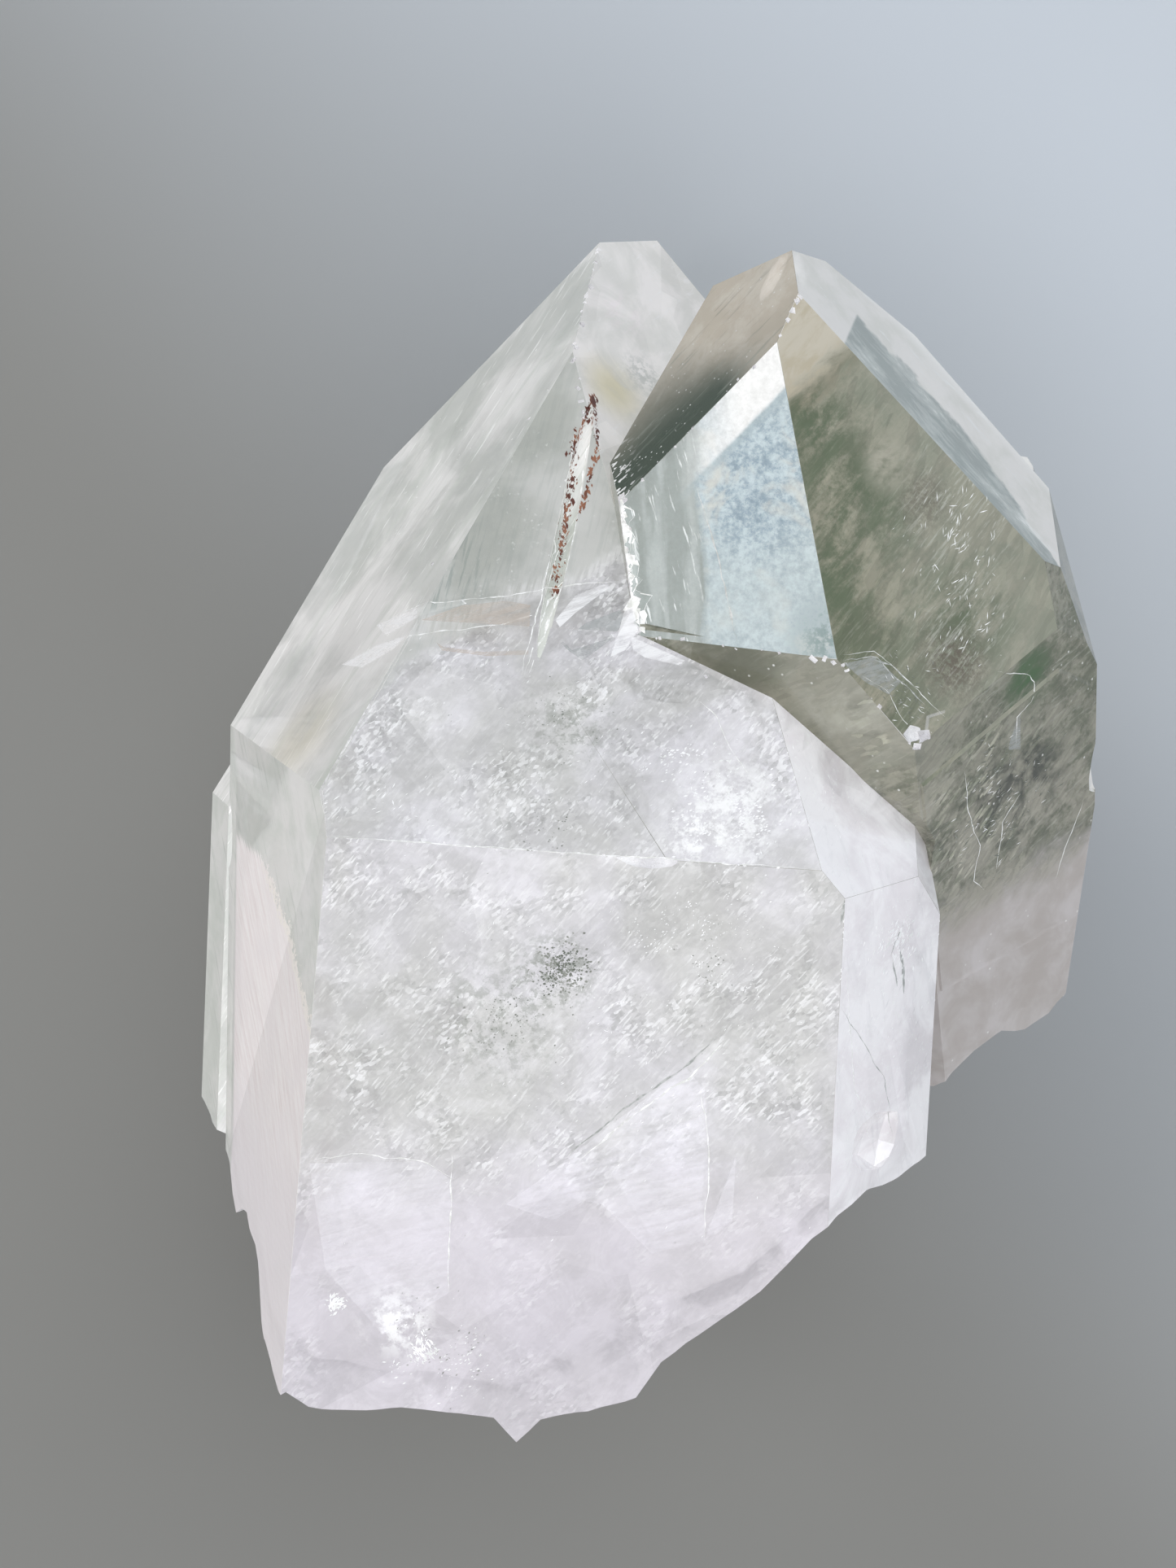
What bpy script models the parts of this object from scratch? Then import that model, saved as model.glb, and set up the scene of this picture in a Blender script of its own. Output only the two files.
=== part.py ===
"""Two quartz points and a sliver grown together, broken from their base and laid on their back.

The left crystal's axis lies along +Y with its tip at +Y. Its front side faces up, and its back
side rests on the ground. Each crystal is a block cut by flat faces, as a crystal is bounded.
"""
import math

import bmesh
import bpy
from mathutils import Euler, Matrix, Vector, noise

MM = 0.001
BLOCK = 360.0            # side of the block that each crystal is cut from

# Sizes in millimetres, angles in degrees. A face is its name, its turn about the crystal's axis
# (0 looks up, plus is toward +X), its lean toward the tip, and its distance from the centre.
CAP = 38.2               # lean of a quartz cap face
THICKNESS_FRONT = 35.0   # left crystal's axis to its front side
THICKNESS_BACK = 38.0    # left crystal's axis to its back side

LEFT_POINT = [
    ("front", 0, 0, THICKNESS_FRONT - 0.15),
    ("right front", 60, 0, 42.5),
    ("right back", 120, 0, 23.8),
    ("back", 180, 0, THICKNESS_BACK),
    ("left back", -120, 0, 39.9),
    ("left front", -60, 0, 40.2),
    ("front cap", 0, CAP, 29.05),
    ("left front cap", -60, CAP, 35.9),
    ("left back cap", -120, CAP, 53.3),
    ("back cap", 180, CAP, 64.5),
    ("right back cap", 120, CAP, 50.4),
    ("right front cap", 60, CAP, 25.4),
    ("foot", 0, -90, 75),
]
# The lower body stands further out at the right, up to the shoulder where the right crystal starts
LOWER_BODY = [
    ("front", 0, 0, THICKNESS_FRONT),
    ("right front", 60, 0, 42.7),
    ("right back", 120, 0, 24.0),
    ("back", 180, 0, THICKNESS_BACK - 0.5),
    ("left back", -120, 0, 39.7),
    ("left front", -64.5, 3.3, 39.1),
    ("front cap", 0, CAP, 29.2),
    ("left front cap", -60, CAP, 35.7),
    ("right front cap", 60, CAP, 33.5),
    ("shoulder", 146, 43.4, 6.9),
    ("corner chip", 82.5, 20, 36.4),
    ("growth line", 0, 90, 23.9),
    ("foot", 0, -90, 75),
]
RIGHT_POINT = [
    ("left front", -60, 0, 27.1),
    ("front", -1, 0, 27.2),
    ("right front", 65, 4, 26.5),
    ("right corner", 87, 27, 26.4),
    ("left cap", -57, 47, 35.0),
    ("front cap", -4, 33, 29.3),
    ("right front cap", 58, 37.5, 24.3),
    ("right cap", 108, 42, 24.3),
    ("tip back left", -150, 46, 36.2),
    ("left back", -105, 4, 21.8),
    ("tip back right", 180, 27.5, 26.5),
    ("back right", 167, 10, 19.8),
    ("right low", 110, 20, 25.0),
    ("right back", 125, -1, 23.1),
    ("right taper", 123.5, -10.5, 26.3),
    ("back", 180, 0, 20.5),
    ("contact face", -165, -24, 31.8),
    ("foot", 0, -90, 66),
]
# A growth step stands out below a cap: the faces that it thickens, the rest kept just inside
LEFT_STEP = [
    ("front", 0, 0, 34.0),
    ("right front", 60, 0, 41.0),
    ("right back", 120, 0, 23.0),
    ("back", 180, 0, 37.5),
    ("left back", -120, 0, 40.3),
    ("left front", -60, 0, 40.0),
    ("front cap", 0, CAP, 27.5),
    ("left front cap", -60, CAP, 34.5),
    ("left back cap", -120, CAP, 44.0),
    ("back cap", 180, CAP, 60.0),
    ("right back cap", 120, CAP, 48.0),
    ("right front cap", 60, CAP, 24.0),
    ("foot", 0, -90, 74),
]
RIGHT_STEP = [
    ("left front", -60, 0, 26.6),
    ("front", -1, 0, 26.8),
    ("right front", 65, 4, 26.75),
    ("right front cap", 58, 37.5, 21.6),
    ("right corner", 87, 27, 24.4),
    ("right low", 110, 20, 23.6),
    ("right back", 125, -1, 22.9),
    ("right taper", 123.5, -10.5, 26.1),
    ("back", 180, 0, 20.0),
    ("contact face", -165, -24, 31.6),
    ("left back", -105, 4, 21.0),
    ("top", 0, 90, 12.0),
    ("foot", 8, -84, 33),
]
RIGHT_CENTRE = (26.0, 23.5, -6.0)
RIGHT_SPIN, RIGHT_RISE, RIGHT_SWING = -15.0, 24.0, -2.0

SLIVER = [
    ("front", 0, 0, 6.5),
    ("right front", 60, 0, 9.0),
    ("right back", 120, 0, 9.0),
    ("back", 180, 0, 7.5),
    ("left back", -120, 0, 6.3),
    ("left front", -60, 0, 6.3),
    ("front cap", 0, CAP, 17.0),
    ("left front cap", -60, CAP, 16.0),
    ("left back cap", -120, CAP, 19.0),
    ("back cap", 180, CAP, 20.0),
    ("foot", 0, -90, 40),
]
SLIVER_CENTRE = (-44.0, -21.5, -9.0)
SLIVER_SWING = 1.5

# Outline of the broken base as it meets the front side, from left to right
BREAK_OUTLINE = [
    (-56, -42), (-46.5, -48), (-43.5, -53), (-38, -60), (-33.8, -65), (-30.6, -60), (-29.4, -63),
    (-16.3, -61.5), (-6.5, -62), (-3.9, -64.6), (-1.5, -61.5), (4.6, -60), (9.9, -58),
    (11.6, -54), (21.8, -44.6), (28.5, -36.6), (32.3, -34.2), (38.3, -35), (39.6, -34),
    (46.7, -30), (53, -25), (62, -20),
]
# The same break deep inside, where it runs more evenly
BREAK_DEEP = [(-56, -44), (-36, -56), (-12, -61), (8, -57), (26, -42), (44, -29), (62, -19)]
BREAK_FADE = 16.0        # depth over which the one outline turns into the other
BREAK_RISE = 0.10        # how far the break climbs toward the tip for each millimetre of depth
BREAK_CELL = 2.6         # spacing of the break's points
BREAK_ROUGH = 2.6        # height of its lumps, deep inside
BREAK_ROUGH_FRONT = 0.5  # and at the front side, where the outline gives the shape

GROOVE_TOP, GROOVE_FOOT = (-4.6, 48.5, -1.5), (-6.6, 19.5, 21.5)
GROOVE_WIDTH, GROOVE_DEPTH = 2.2, 1.0

# Bites out of the edges: place, radii along the edge, across it and into it, and turn about Z
CHIPS = [
    ((-7.5, 62.6, -29.0), (3.2, 1.6, 1.4), 60),
    ((16.8, 61.5, 5.0), (1.2, 3.4, 1.2), -12),
    ((1.2, 31.5, 17.4), (1.3, 6.5, 1.6), 10),
    ((26.6, 23.2, 26.4), (2.2, 1.6, 1.2), 20),
    ((36.4, 16.8, 23.4), (3.2, 1.6, 1.4), 35),
    ((-30.0, 5.0, 34.5), (1.4, 3.6, 0.9), 8),
    ((8.0, 2.6, 35.6), (4.5, 1.2, 0.9), 0),
    ((-46.6, -6.0, 0.0), (1.4, 5.0, 2.2), 4),
    ((54.8, 9.0, -3.0), (1.3, 4.5, 2.4), -4),
    ((36.0, -28.0, 30.0), (6.0, 4.0, 6.5), 30),
]


def clear_scene():
    for thing in list(bpy.data.objects):
        bpy.data.objects.remove(thing, do_unlink=True)


def quartz_material():
    mat = bpy.data.materials.new("milky green quartz")
    mat.use_nodes = True
    shader = mat.node_tree.nodes["Principled BSDF"]
    shader.inputs["Base Color"].default_value = (0.80, 0.82, 0.80, 1.0)
    shader.inputs["Roughness"].default_value = 0.12
    shader.inputs["Metallic"].default_value = 0.0
    shader.inputs["IOR"].default_value = 1.544
    shader.inputs["Transmission Weight"].default_value = 0.9
    return mat


def add_object(name, bm, parent):
    mesh = bpy.data.meshes.new(name)
    bmesh.ops.recalc_face_normals(bm, faces=bm.faces)
    bm.to_mesh(mesh)
    bm.free()
    thing = bpy.data.objects.new(name, mesh)
    bpy.context.scene.collection.objects.link(thing)
    thing.parent = parent
    return thing


def hide_as_cutter(thing):
    thing.hide_render = True
    thing.display_type = "WIRE"


def face_direction(turn, lean):
    turn, lean = math.radians(turn), math.radians(lean)
    across = math.cos(lean)
    return Vector((math.sin(turn) * across, math.sin(lean), math.cos(turn) * across))


def crystal(name, faces, parent, centre=(0, 0, 0), spin=0, rise=0, swing=0):
    """A block cut down to the space behind every face in the list."""
    bm = bmesh.new()
    bmesh.ops.create_cube(bm, size=BLOCK * MM)
    for _, turn, lean, distance in faces:
        direction = face_direction(turn, lean)
        whole = bm.verts[:] + bm.edges[:] + bm.faces[:]
        cut = bmesh.ops.bisect_plane(bm, geom=whole, dist=1e-7, plane_co=direction * distance * MM,
                                     plane_no=direction, clear_outer=True)
        rim = [part for part in cut["geom_cut"] if isinstance(part, bmesh.types.BMEdge)]
        if rim:
            bmesh.ops.edgeloop_fill(bm, edges=rim)
    thing = add_object(name, bm, parent)
    about_axis = Matrix.Rotation(math.radians(spin), 4, "Y")
    tip_up = Matrix.Rotation(math.radians(rise), 4, "X")
    tip_across = Matrix.Rotation(math.radians(-swing), 4, "Z")
    thing.matrix_local = Matrix.Translation(Vector(centre) * MM) @ tip_across @ tip_up @ about_axis
    return thing


def outline_height(points, x):
    for (x0, y0), (x1, y1) in zip(points, points[1:]):
        if x <= x1:
            share = max(0.0, (x - x0) / (x1 - x0))
            return y0 + (y1 - y0) * share
    return points[-1][1]


def break_height(x, z):
    depth = THICKNESS_FRONT - z
    inside = min(1.0, max(0.0, depth / BREAK_FADE))
    edge = outline_height(BREAK_OUTLINE, x) * (1 - inside) + outline_height(BREAK_DEEP, x) * inside
    rough = BREAK_ROUGH_FRONT + (BREAK_ROUGH - BREAK_ROUGH_FRONT) * inside
    lumps = noise.noise(Vector((x / 11.0, z / 14.0, 3.0)))
    grit = noise.noise(Vector((x / 3.7, z / 3.7, 8.0)))
    shells = abs(math.sin(0.28 * z + 0.11 * x)) * 1.2 * inside
    return edge + BREAK_RISE * depth + rough * (1.6 * lumps + 0.6 * grit) + shells


def broken_base(parent):
    """The space below the break: a grid raised to the break's height and closed far below."""
    half_x, half_z, floor = 64.0, 52.0, -150.0
    bm = bmesh.new()
    bmesh.ops.create_grid(bm, x_segments=round(2 * half_x / BREAK_CELL),
                          y_segments=round(2 * half_z / BREAK_CELL), size=1.0)
    top = bm.faces[:]
    below = bmesh.ops.extrude_face_region(bm, geom=top, use_keep_orig=True)["geom"]
    below = {vert for vert in below if isinstance(vert, bmesh.types.BMVert)}
    for vert in bm.verts:
        x, z = vert.co.x * half_x, -vert.co.y * half_z
        y = floor if vert in below else break_height(x, z)
        vert.co = Vector((x, y, z)) * MM
    cutter = add_object("broken_base", bm, parent)
    hide_as_cutter(cutter)
    return cutter


def groove(parent):
    """A long shallow spindle that takes the stained growth groove out of the front cap."""
    top, foot = Vector(GROOVE_TOP), Vector(GROOVE_FOOT)
    along = (top - foot).normalized()
    outward = face_direction(0, CAP)
    outward = (outward - along * outward.dot(along)).normalized()
    across = along.cross(outward)
    bm = bmesh.new()
    bmesh.ops.create_icosphere(bm, subdivisions=2, radius=1.0)
    size = Vector((GROOVE_WIDTH / 2, (top - foot).length / 2, GROOVE_DEPTH)) * MM
    bmesh.ops.scale(bm, vec=size, verts=bm.verts)
    turn = Matrix((across, along, outward)).transposed().to_4x4()
    bmesh.ops.transform(bm, matrix=Matrix.Translation((top + foot) / 2 * MM) @ turn, verts=bm.verts)
    cutter = add_object("groove", bm, parent)
    hide_as_cutter(cutter)
    return cutter


def chips(parent):
    cutters = []
    for number, (place, radii, turn) in enumerate(CHIPS, start=1):
        bm = bmesh.new()
        bmesh.ops.create_icosphere(bm, subdivisions=2, radius=1.0)
        for vert in bm.verts:
            vert.co *= 1.0 + 0.22 * noise.noise(vert.co * 1.3 + Vector((number * 7.0, 0, 0)))
        bmesh.ops.scale(bm, vec=Vector(radii) * MM, verts=bm.verts)
        cutter = add_object("chip_%d" % number, bm, parent)
        cutter.location = Vector(place) * MM
        cutter.rotation_euler = Euler((0, 0, math.radians(turn)))
        hide_as_cutter(cutter)
        cutters.append(cutter)
    return cutters


def boolean(thing, operation, other):
    mod = thing.modifiers.new(operation.lower() + " " + other.name, "BOOLEAN")
    mod.operation = operation
    mod.solver = "EXACT"
    mod.object = other


def clearance(parent):
    """The space in front of the lower body, which the right crystal doesn't grow into."""
    faces = [("shoulder", 146, 43.4, 6.6), ("right back", 120, 0, 23.7), ("bed", 180, 0, 10.0)]
    cutter = crystal("clearance", faces, parent)
    hide_as_cutter(cutter)
    return cutter


def rest_on_ground(cluster, frame):
    """Move the whole cluster so that it stands on z = 0, centred on the Z axis."""
    bpy.context.view_layer.update()
    shape = cluster.evaluated_get(bpy.context.evaluated_depsgraph_get())
    corners = [shape.matrix_world @ vert.co for vert in shape.data.vertices]
    low = Vector([min(corner[axis] for corner in corners) for axis in range(3)])
    high = Vector([max(corner[axis] for corner in corners) for axis in range(3)])
    frame.location = Vector((-(low.x + high.x) / 2, -(low.y + high.y) / 2, -low.z))


def build():
    clear_scene()
    frame = bpy.data.objects.new("cluster_frame", None)
    bpy.context.scene.collection.objects.link(frame)

    cluster = crystal("quartz_cluster", LEFT_POINT, frame)
    cluster.data.materials.append(quartz_material())
    body = crystal("lower_body", LOWER_BODY, frame)
    right = crystal("right_crystal", RIGHT_POINT, frame, RIGHT_CENTRE,
                    RIGHT_SPIN, RIGHT_RISE, RIGHT_SWING)
    left_step = crystal("left_step", LEFT_STEP, frame)
    right_step = crystal("right_step", RIGHT_STEP, frame, RIGHT_CENTRE,
                         RIGHT_SPIN, RIGHT_RISE, RIGHT_SWING)
    sliver = crystal("sliver", SLIVER, frame, SLIVER_CENTRE, swing=SLIVER_SWING)
    cleared = clearance(frame)
    boolean(right, "DIFFERENCE", cleared)
    boolean(right_step, "DIFFERENCE", cleared)
    for grown in (body, right, left_step, right_step, sliver):
        hide_as_cutter(grown)
        boolean(cluster, "UNION", grown)
    for cutter in [groove(frame)] + chips(frame) + [broken_base(frame)]:
        boolean(cluster, "DIFFERENCE", cutter)
    rest_on_ground(cluster, frame)
    return cluster, frame


if __name__ == "__main__":
    build()
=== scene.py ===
"""Chlorite quartz: two clear to milky points and a sliver grown together, laid on their back.

Lengths in the tables below are millimetres, angles are degrees. The finished pieces are in metres,
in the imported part's own frame: +Y along the left crystal's axis to its tip, +Z away from the floor.
"""
import math

import bmesh
import bpy
import numpy as np
from mathutils import Euler, Matrix, Vector, noise
from mathutils.bvhtree import BVHTree


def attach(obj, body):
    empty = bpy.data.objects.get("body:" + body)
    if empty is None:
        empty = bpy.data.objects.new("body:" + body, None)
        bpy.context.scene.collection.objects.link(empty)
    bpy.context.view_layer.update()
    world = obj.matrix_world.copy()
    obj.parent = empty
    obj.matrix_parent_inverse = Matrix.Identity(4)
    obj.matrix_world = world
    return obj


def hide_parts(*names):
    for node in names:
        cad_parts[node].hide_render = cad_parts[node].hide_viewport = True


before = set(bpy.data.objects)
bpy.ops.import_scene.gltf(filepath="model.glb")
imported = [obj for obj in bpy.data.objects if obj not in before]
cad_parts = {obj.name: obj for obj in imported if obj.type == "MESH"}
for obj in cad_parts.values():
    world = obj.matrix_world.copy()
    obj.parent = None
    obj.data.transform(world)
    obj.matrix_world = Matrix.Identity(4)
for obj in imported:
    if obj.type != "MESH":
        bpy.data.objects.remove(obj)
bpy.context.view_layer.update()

bl_info = {
    "name": "Chlorite quartz cluster",
    "version": (1, 0, 0),
    "blender": (4, 5, 0),
    "location": "View3D > Sidebar > Quartz",
    "description": "Dresses the quartz cluster with its surface, milk, phantoms and flakes",
    "category": "Add Mesh",
}

MM = 0.001
CAD_NODE = "quartz_cluster"
QUARTZ_IOR = 1.544

# Limits for shaping the skin, in millimetres, square millimetres and radians
ROUGH_BLOCK = 360
CUT_CLOSE = 1e-5
WELD = 0.02
FLAT_TURN = math.radians(0.6)
GROWN_FACE = 14
WORN_EDGE = 1.5
WORN_TURN = math.radians(14)
BREAK_FACE = 0.12
BREAK_EDGE = 0.8
BREAK_TOP = -12
GRIT_DEPTH = 0.75
STEP_DEPTH = 0.45
# Bites: how far they stray from the edge in millimetres, and the rest in shares of their radius
BITE_STRAY = 0.25
BITE_SINK = 0.3
BITE_REACH = 1.75
BITE_CUBE = 1.3
BITE_SHAPE = (1.5, 1, 0.8)
# Which side a face lies in: how alike the directions are, and millimetres and square millimetres
SAME_TURN = 0.9994
OFF_SIDE = 3.5
CHIP_FACE = 12
WIDE_CHIP = 8
BREAK_REACH = 7
# Where one finish passes into the next: millimetres, and shares of a direction
VEIL_START = 30
CLEAR_BELOW = 20
PALE_START = 30
FACES_LEFT = -0.8
FACES_UP = 0.3
# Marks in the faces, and flakes under them, in millimetres
FLUSH = 0.012
THICK = 0.03
RIBBON_STEP = 0.6
RIBBON_AHEAD = 0.4
SPECK_HALF = 0.03
SPECK_SINK = 0.02
FLAKE_DEPTH = 0.6
# How specks and flakes scatter: the share of their spread, how alike their faces point, turns in
# radians, and the value of the lumps below which a place stays bare
SPECK_SPREAD = 0.55
SPECK_TURN = 0.9
SPECK_WANDER = 0.45
SPECK_GAPS = -0.12
STAIN_ALONG = (0.1, -0.8, 0.6)
FLAKE_SPREAD = 0.45
FLAKE_GAPS = 0.05

# Each crystal's own frame and its faces: turn about the axis, lean to the tip, distance
CAP = 38.2
LEFT_FRAME = Matrix.Translation((-1.4128, -0.4457, 38))
RIGHT_FRAME = (Matrix.Translation((24.587, 23.054, 32)) @ Matrix.Rotation(math.radians(2), 4, "Z")
               @ Matrix.Rotation(math.radians(24), 4, "X")
               @ Matrix.Rotation(math.radians(-15), 4, "Y"))
LEFT_SIDES = {
    "front": (0, 0, 35),
    "right front": (60, 0, 42.7),
    "right back": (120, 0, 24),
    "back": (180, 0, 37.5),
    "left back": (-120, 0, 39.7),
    "left front": (-64.5, 3.3, 39.1),
    "front cap": (0, CAP, 29.2),
    "left front cap": (-60, CAP, 35.7),
    "left back cap": (-120, CAP, 53.3),
    "back cap": (180, CAP, 64.5),
    "right back cap": (120, CAP, 50.4),
}
LOWER_TOP = {
    "right front cap": (60, CAP, 33.5),
    "shoulder": (146, 43.4, 6.9),
    "corner chip": (82.5, 20, 36.4),
    "growth line": (0, 90, 23.9),
}
UPPER_TOP = {"right front cap": (60, CAP, 25.4)}
RIGHT_SIDES = {
    "left front": (-60, 0, 27.1),
    "front": (-1, 0, 27.2),
    "right front": (65, 4, 26.5),
    "right corner": (87, 27, 26.4),
    "left cap": (-57, 47, 35),
    "front cap": (-4, 33, 29.3),
    "right front cap": (58, 37.5, 24.3),
    "right cap": (108, 42, 24.3),
    "tip back left": (-150, 46, 36.2),
    "left back": (-105, 4, 21.8),
    "tip back right": (180, 27.5, 26.5),
    "back right": (167, 10, 19.8),
    "right low": (110, 20, 25),
    "right back": (125, -1, 23.1),
    "right taper": (123.5, -10.5, 26.3),
    "back": (180, 0, 20.5),
    "contact face": (-165, -24, 31.8),
}
# The break across the foot, as flat cuts: a point on each and its direction, world millimetres
BREAK_CUTS = [
    ((-13, -61, 73), (0, -1, -0.1)),
    ((9, -57.5, 73), (0.66, -0.75, -0.075)),
    ((27, -40.5, 73), (0.51, -0.86, -0.086)),
    ((-39.5, -59.5, 73), (-0.64, -0.77, -0.07)),
]


# Settings that a user would change

class QuartzSurface(bpy.types.PropertyGroup):
    wear: bpy.props.FloatProperty(name="Worn edge", description="Width of the worn edges", default=0.28,
                                  min=0.05, max=1)
    gloss: bpy.props.FloatProperty(name="Roughness", description="Roughness of the grown faces",
                                   default=0.035, min=0, max=1)
    tint: bpy.props.FloatVectorProperty(name="Absorption", description="Colour that thick quartz keeps",
                                        subtype="COLOR", default=(0.86, 0.92, 0.87), min=0, max=1)
    depth_tint: bpy.props.FloatProperty(name="Absorption density", description="Tint for each metre",
                                        default=4, min=0, max=50)


class QuartzMilk(bpy.types.PropertyGroup):
    colour: bpy.props.FloatVectorProperty(name="Milk", description="Colour of the milky inside",
                                          subtype="COLOR", default=(0.7, 0.685, 0.715), min=0, max=1)
    depth: bpy.props.FloatProperty(name="Depth", description="Millimetres from a face to the milk",
                                   default=3, min=0.3, max=9)
    grain: bpy.props.FloatProperty(name="Grain", description="Spacing of the milk's mesh, millimetres",
                                   default=1.8, min=0.6, max=4)


class QuartzChlorite(bpy.types.PropertyGroup):
    green: bpy.props.FloatVectorProperty(name="Green", description="Colour of the chlorite",
                                         subtype="COLOR", default=(0.055, 0.085, 0.05), min=0, max=1)
    flakes: bpy.props.IntProperty(name="Flakes", description="Number of chlorite flakes inside",
                                  default=3000, min=0, max=30000)
    specks: bpy.props.FloatProperty(name="Specks", description="Share of the specks in the faces",
                                    default=1, min=0, max=2)


class QuartzStage(bpy.types.PropertyGroup):
    floor: bpy.props.FloatVectorProperty(name="Floor", description="Colour of the floor",
                                         subtype="COLOR", default=(0.5, 0.54, 0.59), min=0, max=1)
    shade: bpy.props.FloatVectorProperty(name="Shaded floor", subtype="COLOR",
                                         description="Colour of the floor's dim corner",
                                         default=(0.215, 0.215, 0.205), min=0, max=1)
    key: bpy.props.FloatProperty(name="Key light", description="Power of the window light", default=8,
                                 min=0, unit="POWER")


# Shader helpers

class Shade:
    """A material's nodes and the colour painted so far. Most calls add nodes and return an output."""

    def __init__(self, name):
        self.mat = bpy.data.materials.new(name)
        self.mat.use_nodes = True
        self.tree = self.mat.node_tree
        self.tree.nodes.clear()
        self.out = self.tree.nodes.new("ShaderNodeOutputMaterial")
        where = self.node("ShaderNodeTexCoord").outputs["Object"]
        # Places in millimetres. Patterns read where, which a material may shift.
        self.place = self.where = self.vector("SCALE", where, scale=1 / MM)
        self.colour = None

    def node(self, kind, inputs=(), **settings):
        made = self.tree.nodes.new(kind)
        for name, value in settings.items():
            setattr(made, name, value)
        for key, value in dict(inputs).items():
            self.feed(made.inputs[key], value)
        return made

    def feed(self, socket, value):
        if isinstance(value, bpy.types.NodeSocket):
            self.tree.links.new(value, socket)
        else:
            socket.default_value = value

    def vector(self, operation, a, b=None, scale=None):
        made = self.node("ShaderNodeVectorMath", {0: a}, operation=operation)
        if b is not None:
            self.feed(made.inputs[1], b)
        if scale is not None:
            self.feed(made.inputs["Scale"], scale)
        return made.outputs["Value" if operation in ("DOT_PRODUCT", "DISTANCE") else "Vector"]

    def math(self, operation, a, b=0, clamp=False):
        return self.node("ShaderNodeMath", {0: a, 1: b}, operation=operation, use_clamp=clamp).outputs[0]

    def add(self, a, b):
        return self.math("ADD", a, b)

    def times(self, a, b):
        return self.math("MULTIPLY", a, b)

    def sway(self, field, reach):
        """A field's swing about its middle."""
        return self.times(self.add(field, -0.5), reach)

    def span(self, value, low, high, to_low=0, to_high=1):
        """value from low to high, carried to the other range and held there."""
        ends = {"Value": value, "From Min": low, "From Max": high, "To Min": to_low, "To Max": to_high}
        return self.node("ShaderNodeMapRange", ends, interpolation_type="SMOOTHSTEP").outputs["Result"]

    def beside(self, value, low, high):
        """1 where the value is within low of 0, fading out at high, on both sides."""
        return self.span(self.math("ABSOLUTE", value), low, high, 1, 0)

    def noise(self, size, detail=3, rough=0.55, bend=0, where=None):
        where = self.where if where is None else where
        return self.node("ShaderNodeTexNoise", {"Vector": where, "Scale": 1 / size, "Detail": detail,
                                                "Roughness": rough, "Distortion": bend}).outputs["Fac"]

    def cells(self, size, feature="F1", where=None):
        """The distance to the nearest of many scattered points."""
        where = self.where if where is None else where
        return self.node("ShaderNodeTexVoronoi", {"Vector": where, "Scale": 1 / size},
                         feature=feature).outputs["Distance"]

    def facets(self, where):
        """Flat-sided cells, each with its own value from 0 to 1."""
        return self.node("ShaderNodeTexVoronoi", {"Vector": where, "Scale": 1}).outputs["Color"]

    def stretch(self, turn, size):
        """Places turned by the angles and squeezed along each axis."""
        turn = [math.radians(angle) for angle in turn]
        return self.node("ShaderNodeMapping", {"Vector": self.where, "Rotation": turn, "Scale": size},
                         vector_type="TEXTURE").outputs["Vector"]

    def drawn_out(self, run, size):
        """Places drawn out along the direction run: size across, along and down."""
        turn = Vector(run).to_track_quat("Y", "Z").to_euler()
        return self.stretch([math.degrees(angle) for angle in turn], size)

    def streaks(self, turn, size, detail=3, rough=0.55, bend=0):
        return self.noise(1, detail, rough, bend, self.stretch(turn, size))

    def fibres(self, run, size, detail=3, rough=0.55, bend=0):
        return self.noise(1, detail, rough, bend, self.drawn_out(run, size))

    def plates(self, turn, size):
        return self.facets(self.stretch(turn, size))

    def shards(self, run, size):
        return self.facets(self.drawn_out(run, size))

    def along(self, direction, start=(0, 0, 0)):
        """Millimetres from start along a direction."""
        direction = Vector(direction).normalized()
        reach = self.vector("DOT_PRODUCT", self.place, tuple(direction))
        return self.add(reach, -direction.dot(Vector(start)))

    def near(self, point, radius, soft):
        """1 at the point, out to the soft share of the radius, fading to 0 at the radius."""
        away = self.vector("DISTANCE", self.place, point)
        return self.span(away, radius * soft, radius, 1, 0)

    def spot(self, point, radius, soft, field, *span):
        """A patch round a point, broken up by a field."""
        return self.times(self.near(point, radius, soft), self.span(field, *span))

    def spots(self, *patches):
        """Patches together, each given by its point, radius and, unless it is 1, strength."""
        total = None
        for point, radius, *strength in patches:
            patch = self.near(point, radius, 0.1)
            if strength:
                patch = self.times(patch, strength[0])
            total = patch if total is None else self.add(total, patch)
        return total

    def mix_value(self, share, a, b):
        return self.node("ShaderNodeMix", {"Factor": share, 2: a, 3: b}, data_type="FLOAT").outputs[0]

    def mix(self, share, a, b):
        """One colour passing into the other, by a share."""
        made = self.node("ShaderNodeMix", {"Factor": share}, data_type="RGBA", blend_type="MIX")
        for socket, value in ((made.inputs[6], a), (made.inputs[7], b)):
            self.feed(socket, value if isinstance(value, bpy.types.NodeSocket) else (*value, 1))
        return made.outputs[2]

    def blend(self, a, b, field, *span):
        """One colour passing into the other, as a field goes through a span."""
        return self.mix(self.span(field, *span), a, b)

    def scaled(self, colour, share):
        """A colour made lighter or darker."""
        return self.vector("SCALE", colour, scale=share)

    def ground(self, a, b, field, *span):
        """The first coat: a blend of two colours."""
        self.colour = self.blend(a, b, field, *span)

    def paint(self, colour, share, *span):
        """A coat over what is there, by a share or as a field goes through a span."""
        self.colour = self.mix(self.span(share, *span) if span else share, self.colour, colour)

    def light(self, share, *span):
        """What is there, made lighter or darker."""
        self.colour = self.scaled(self.colour, self.span(share, *span) if span else share)

    def bump(self, height, distance, strength):
        return self.node("ShaderNodeBump", {"Height": height, "Distance": distance * MM,
                                            "Strength": strength}).outputs["Normal"]

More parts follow.
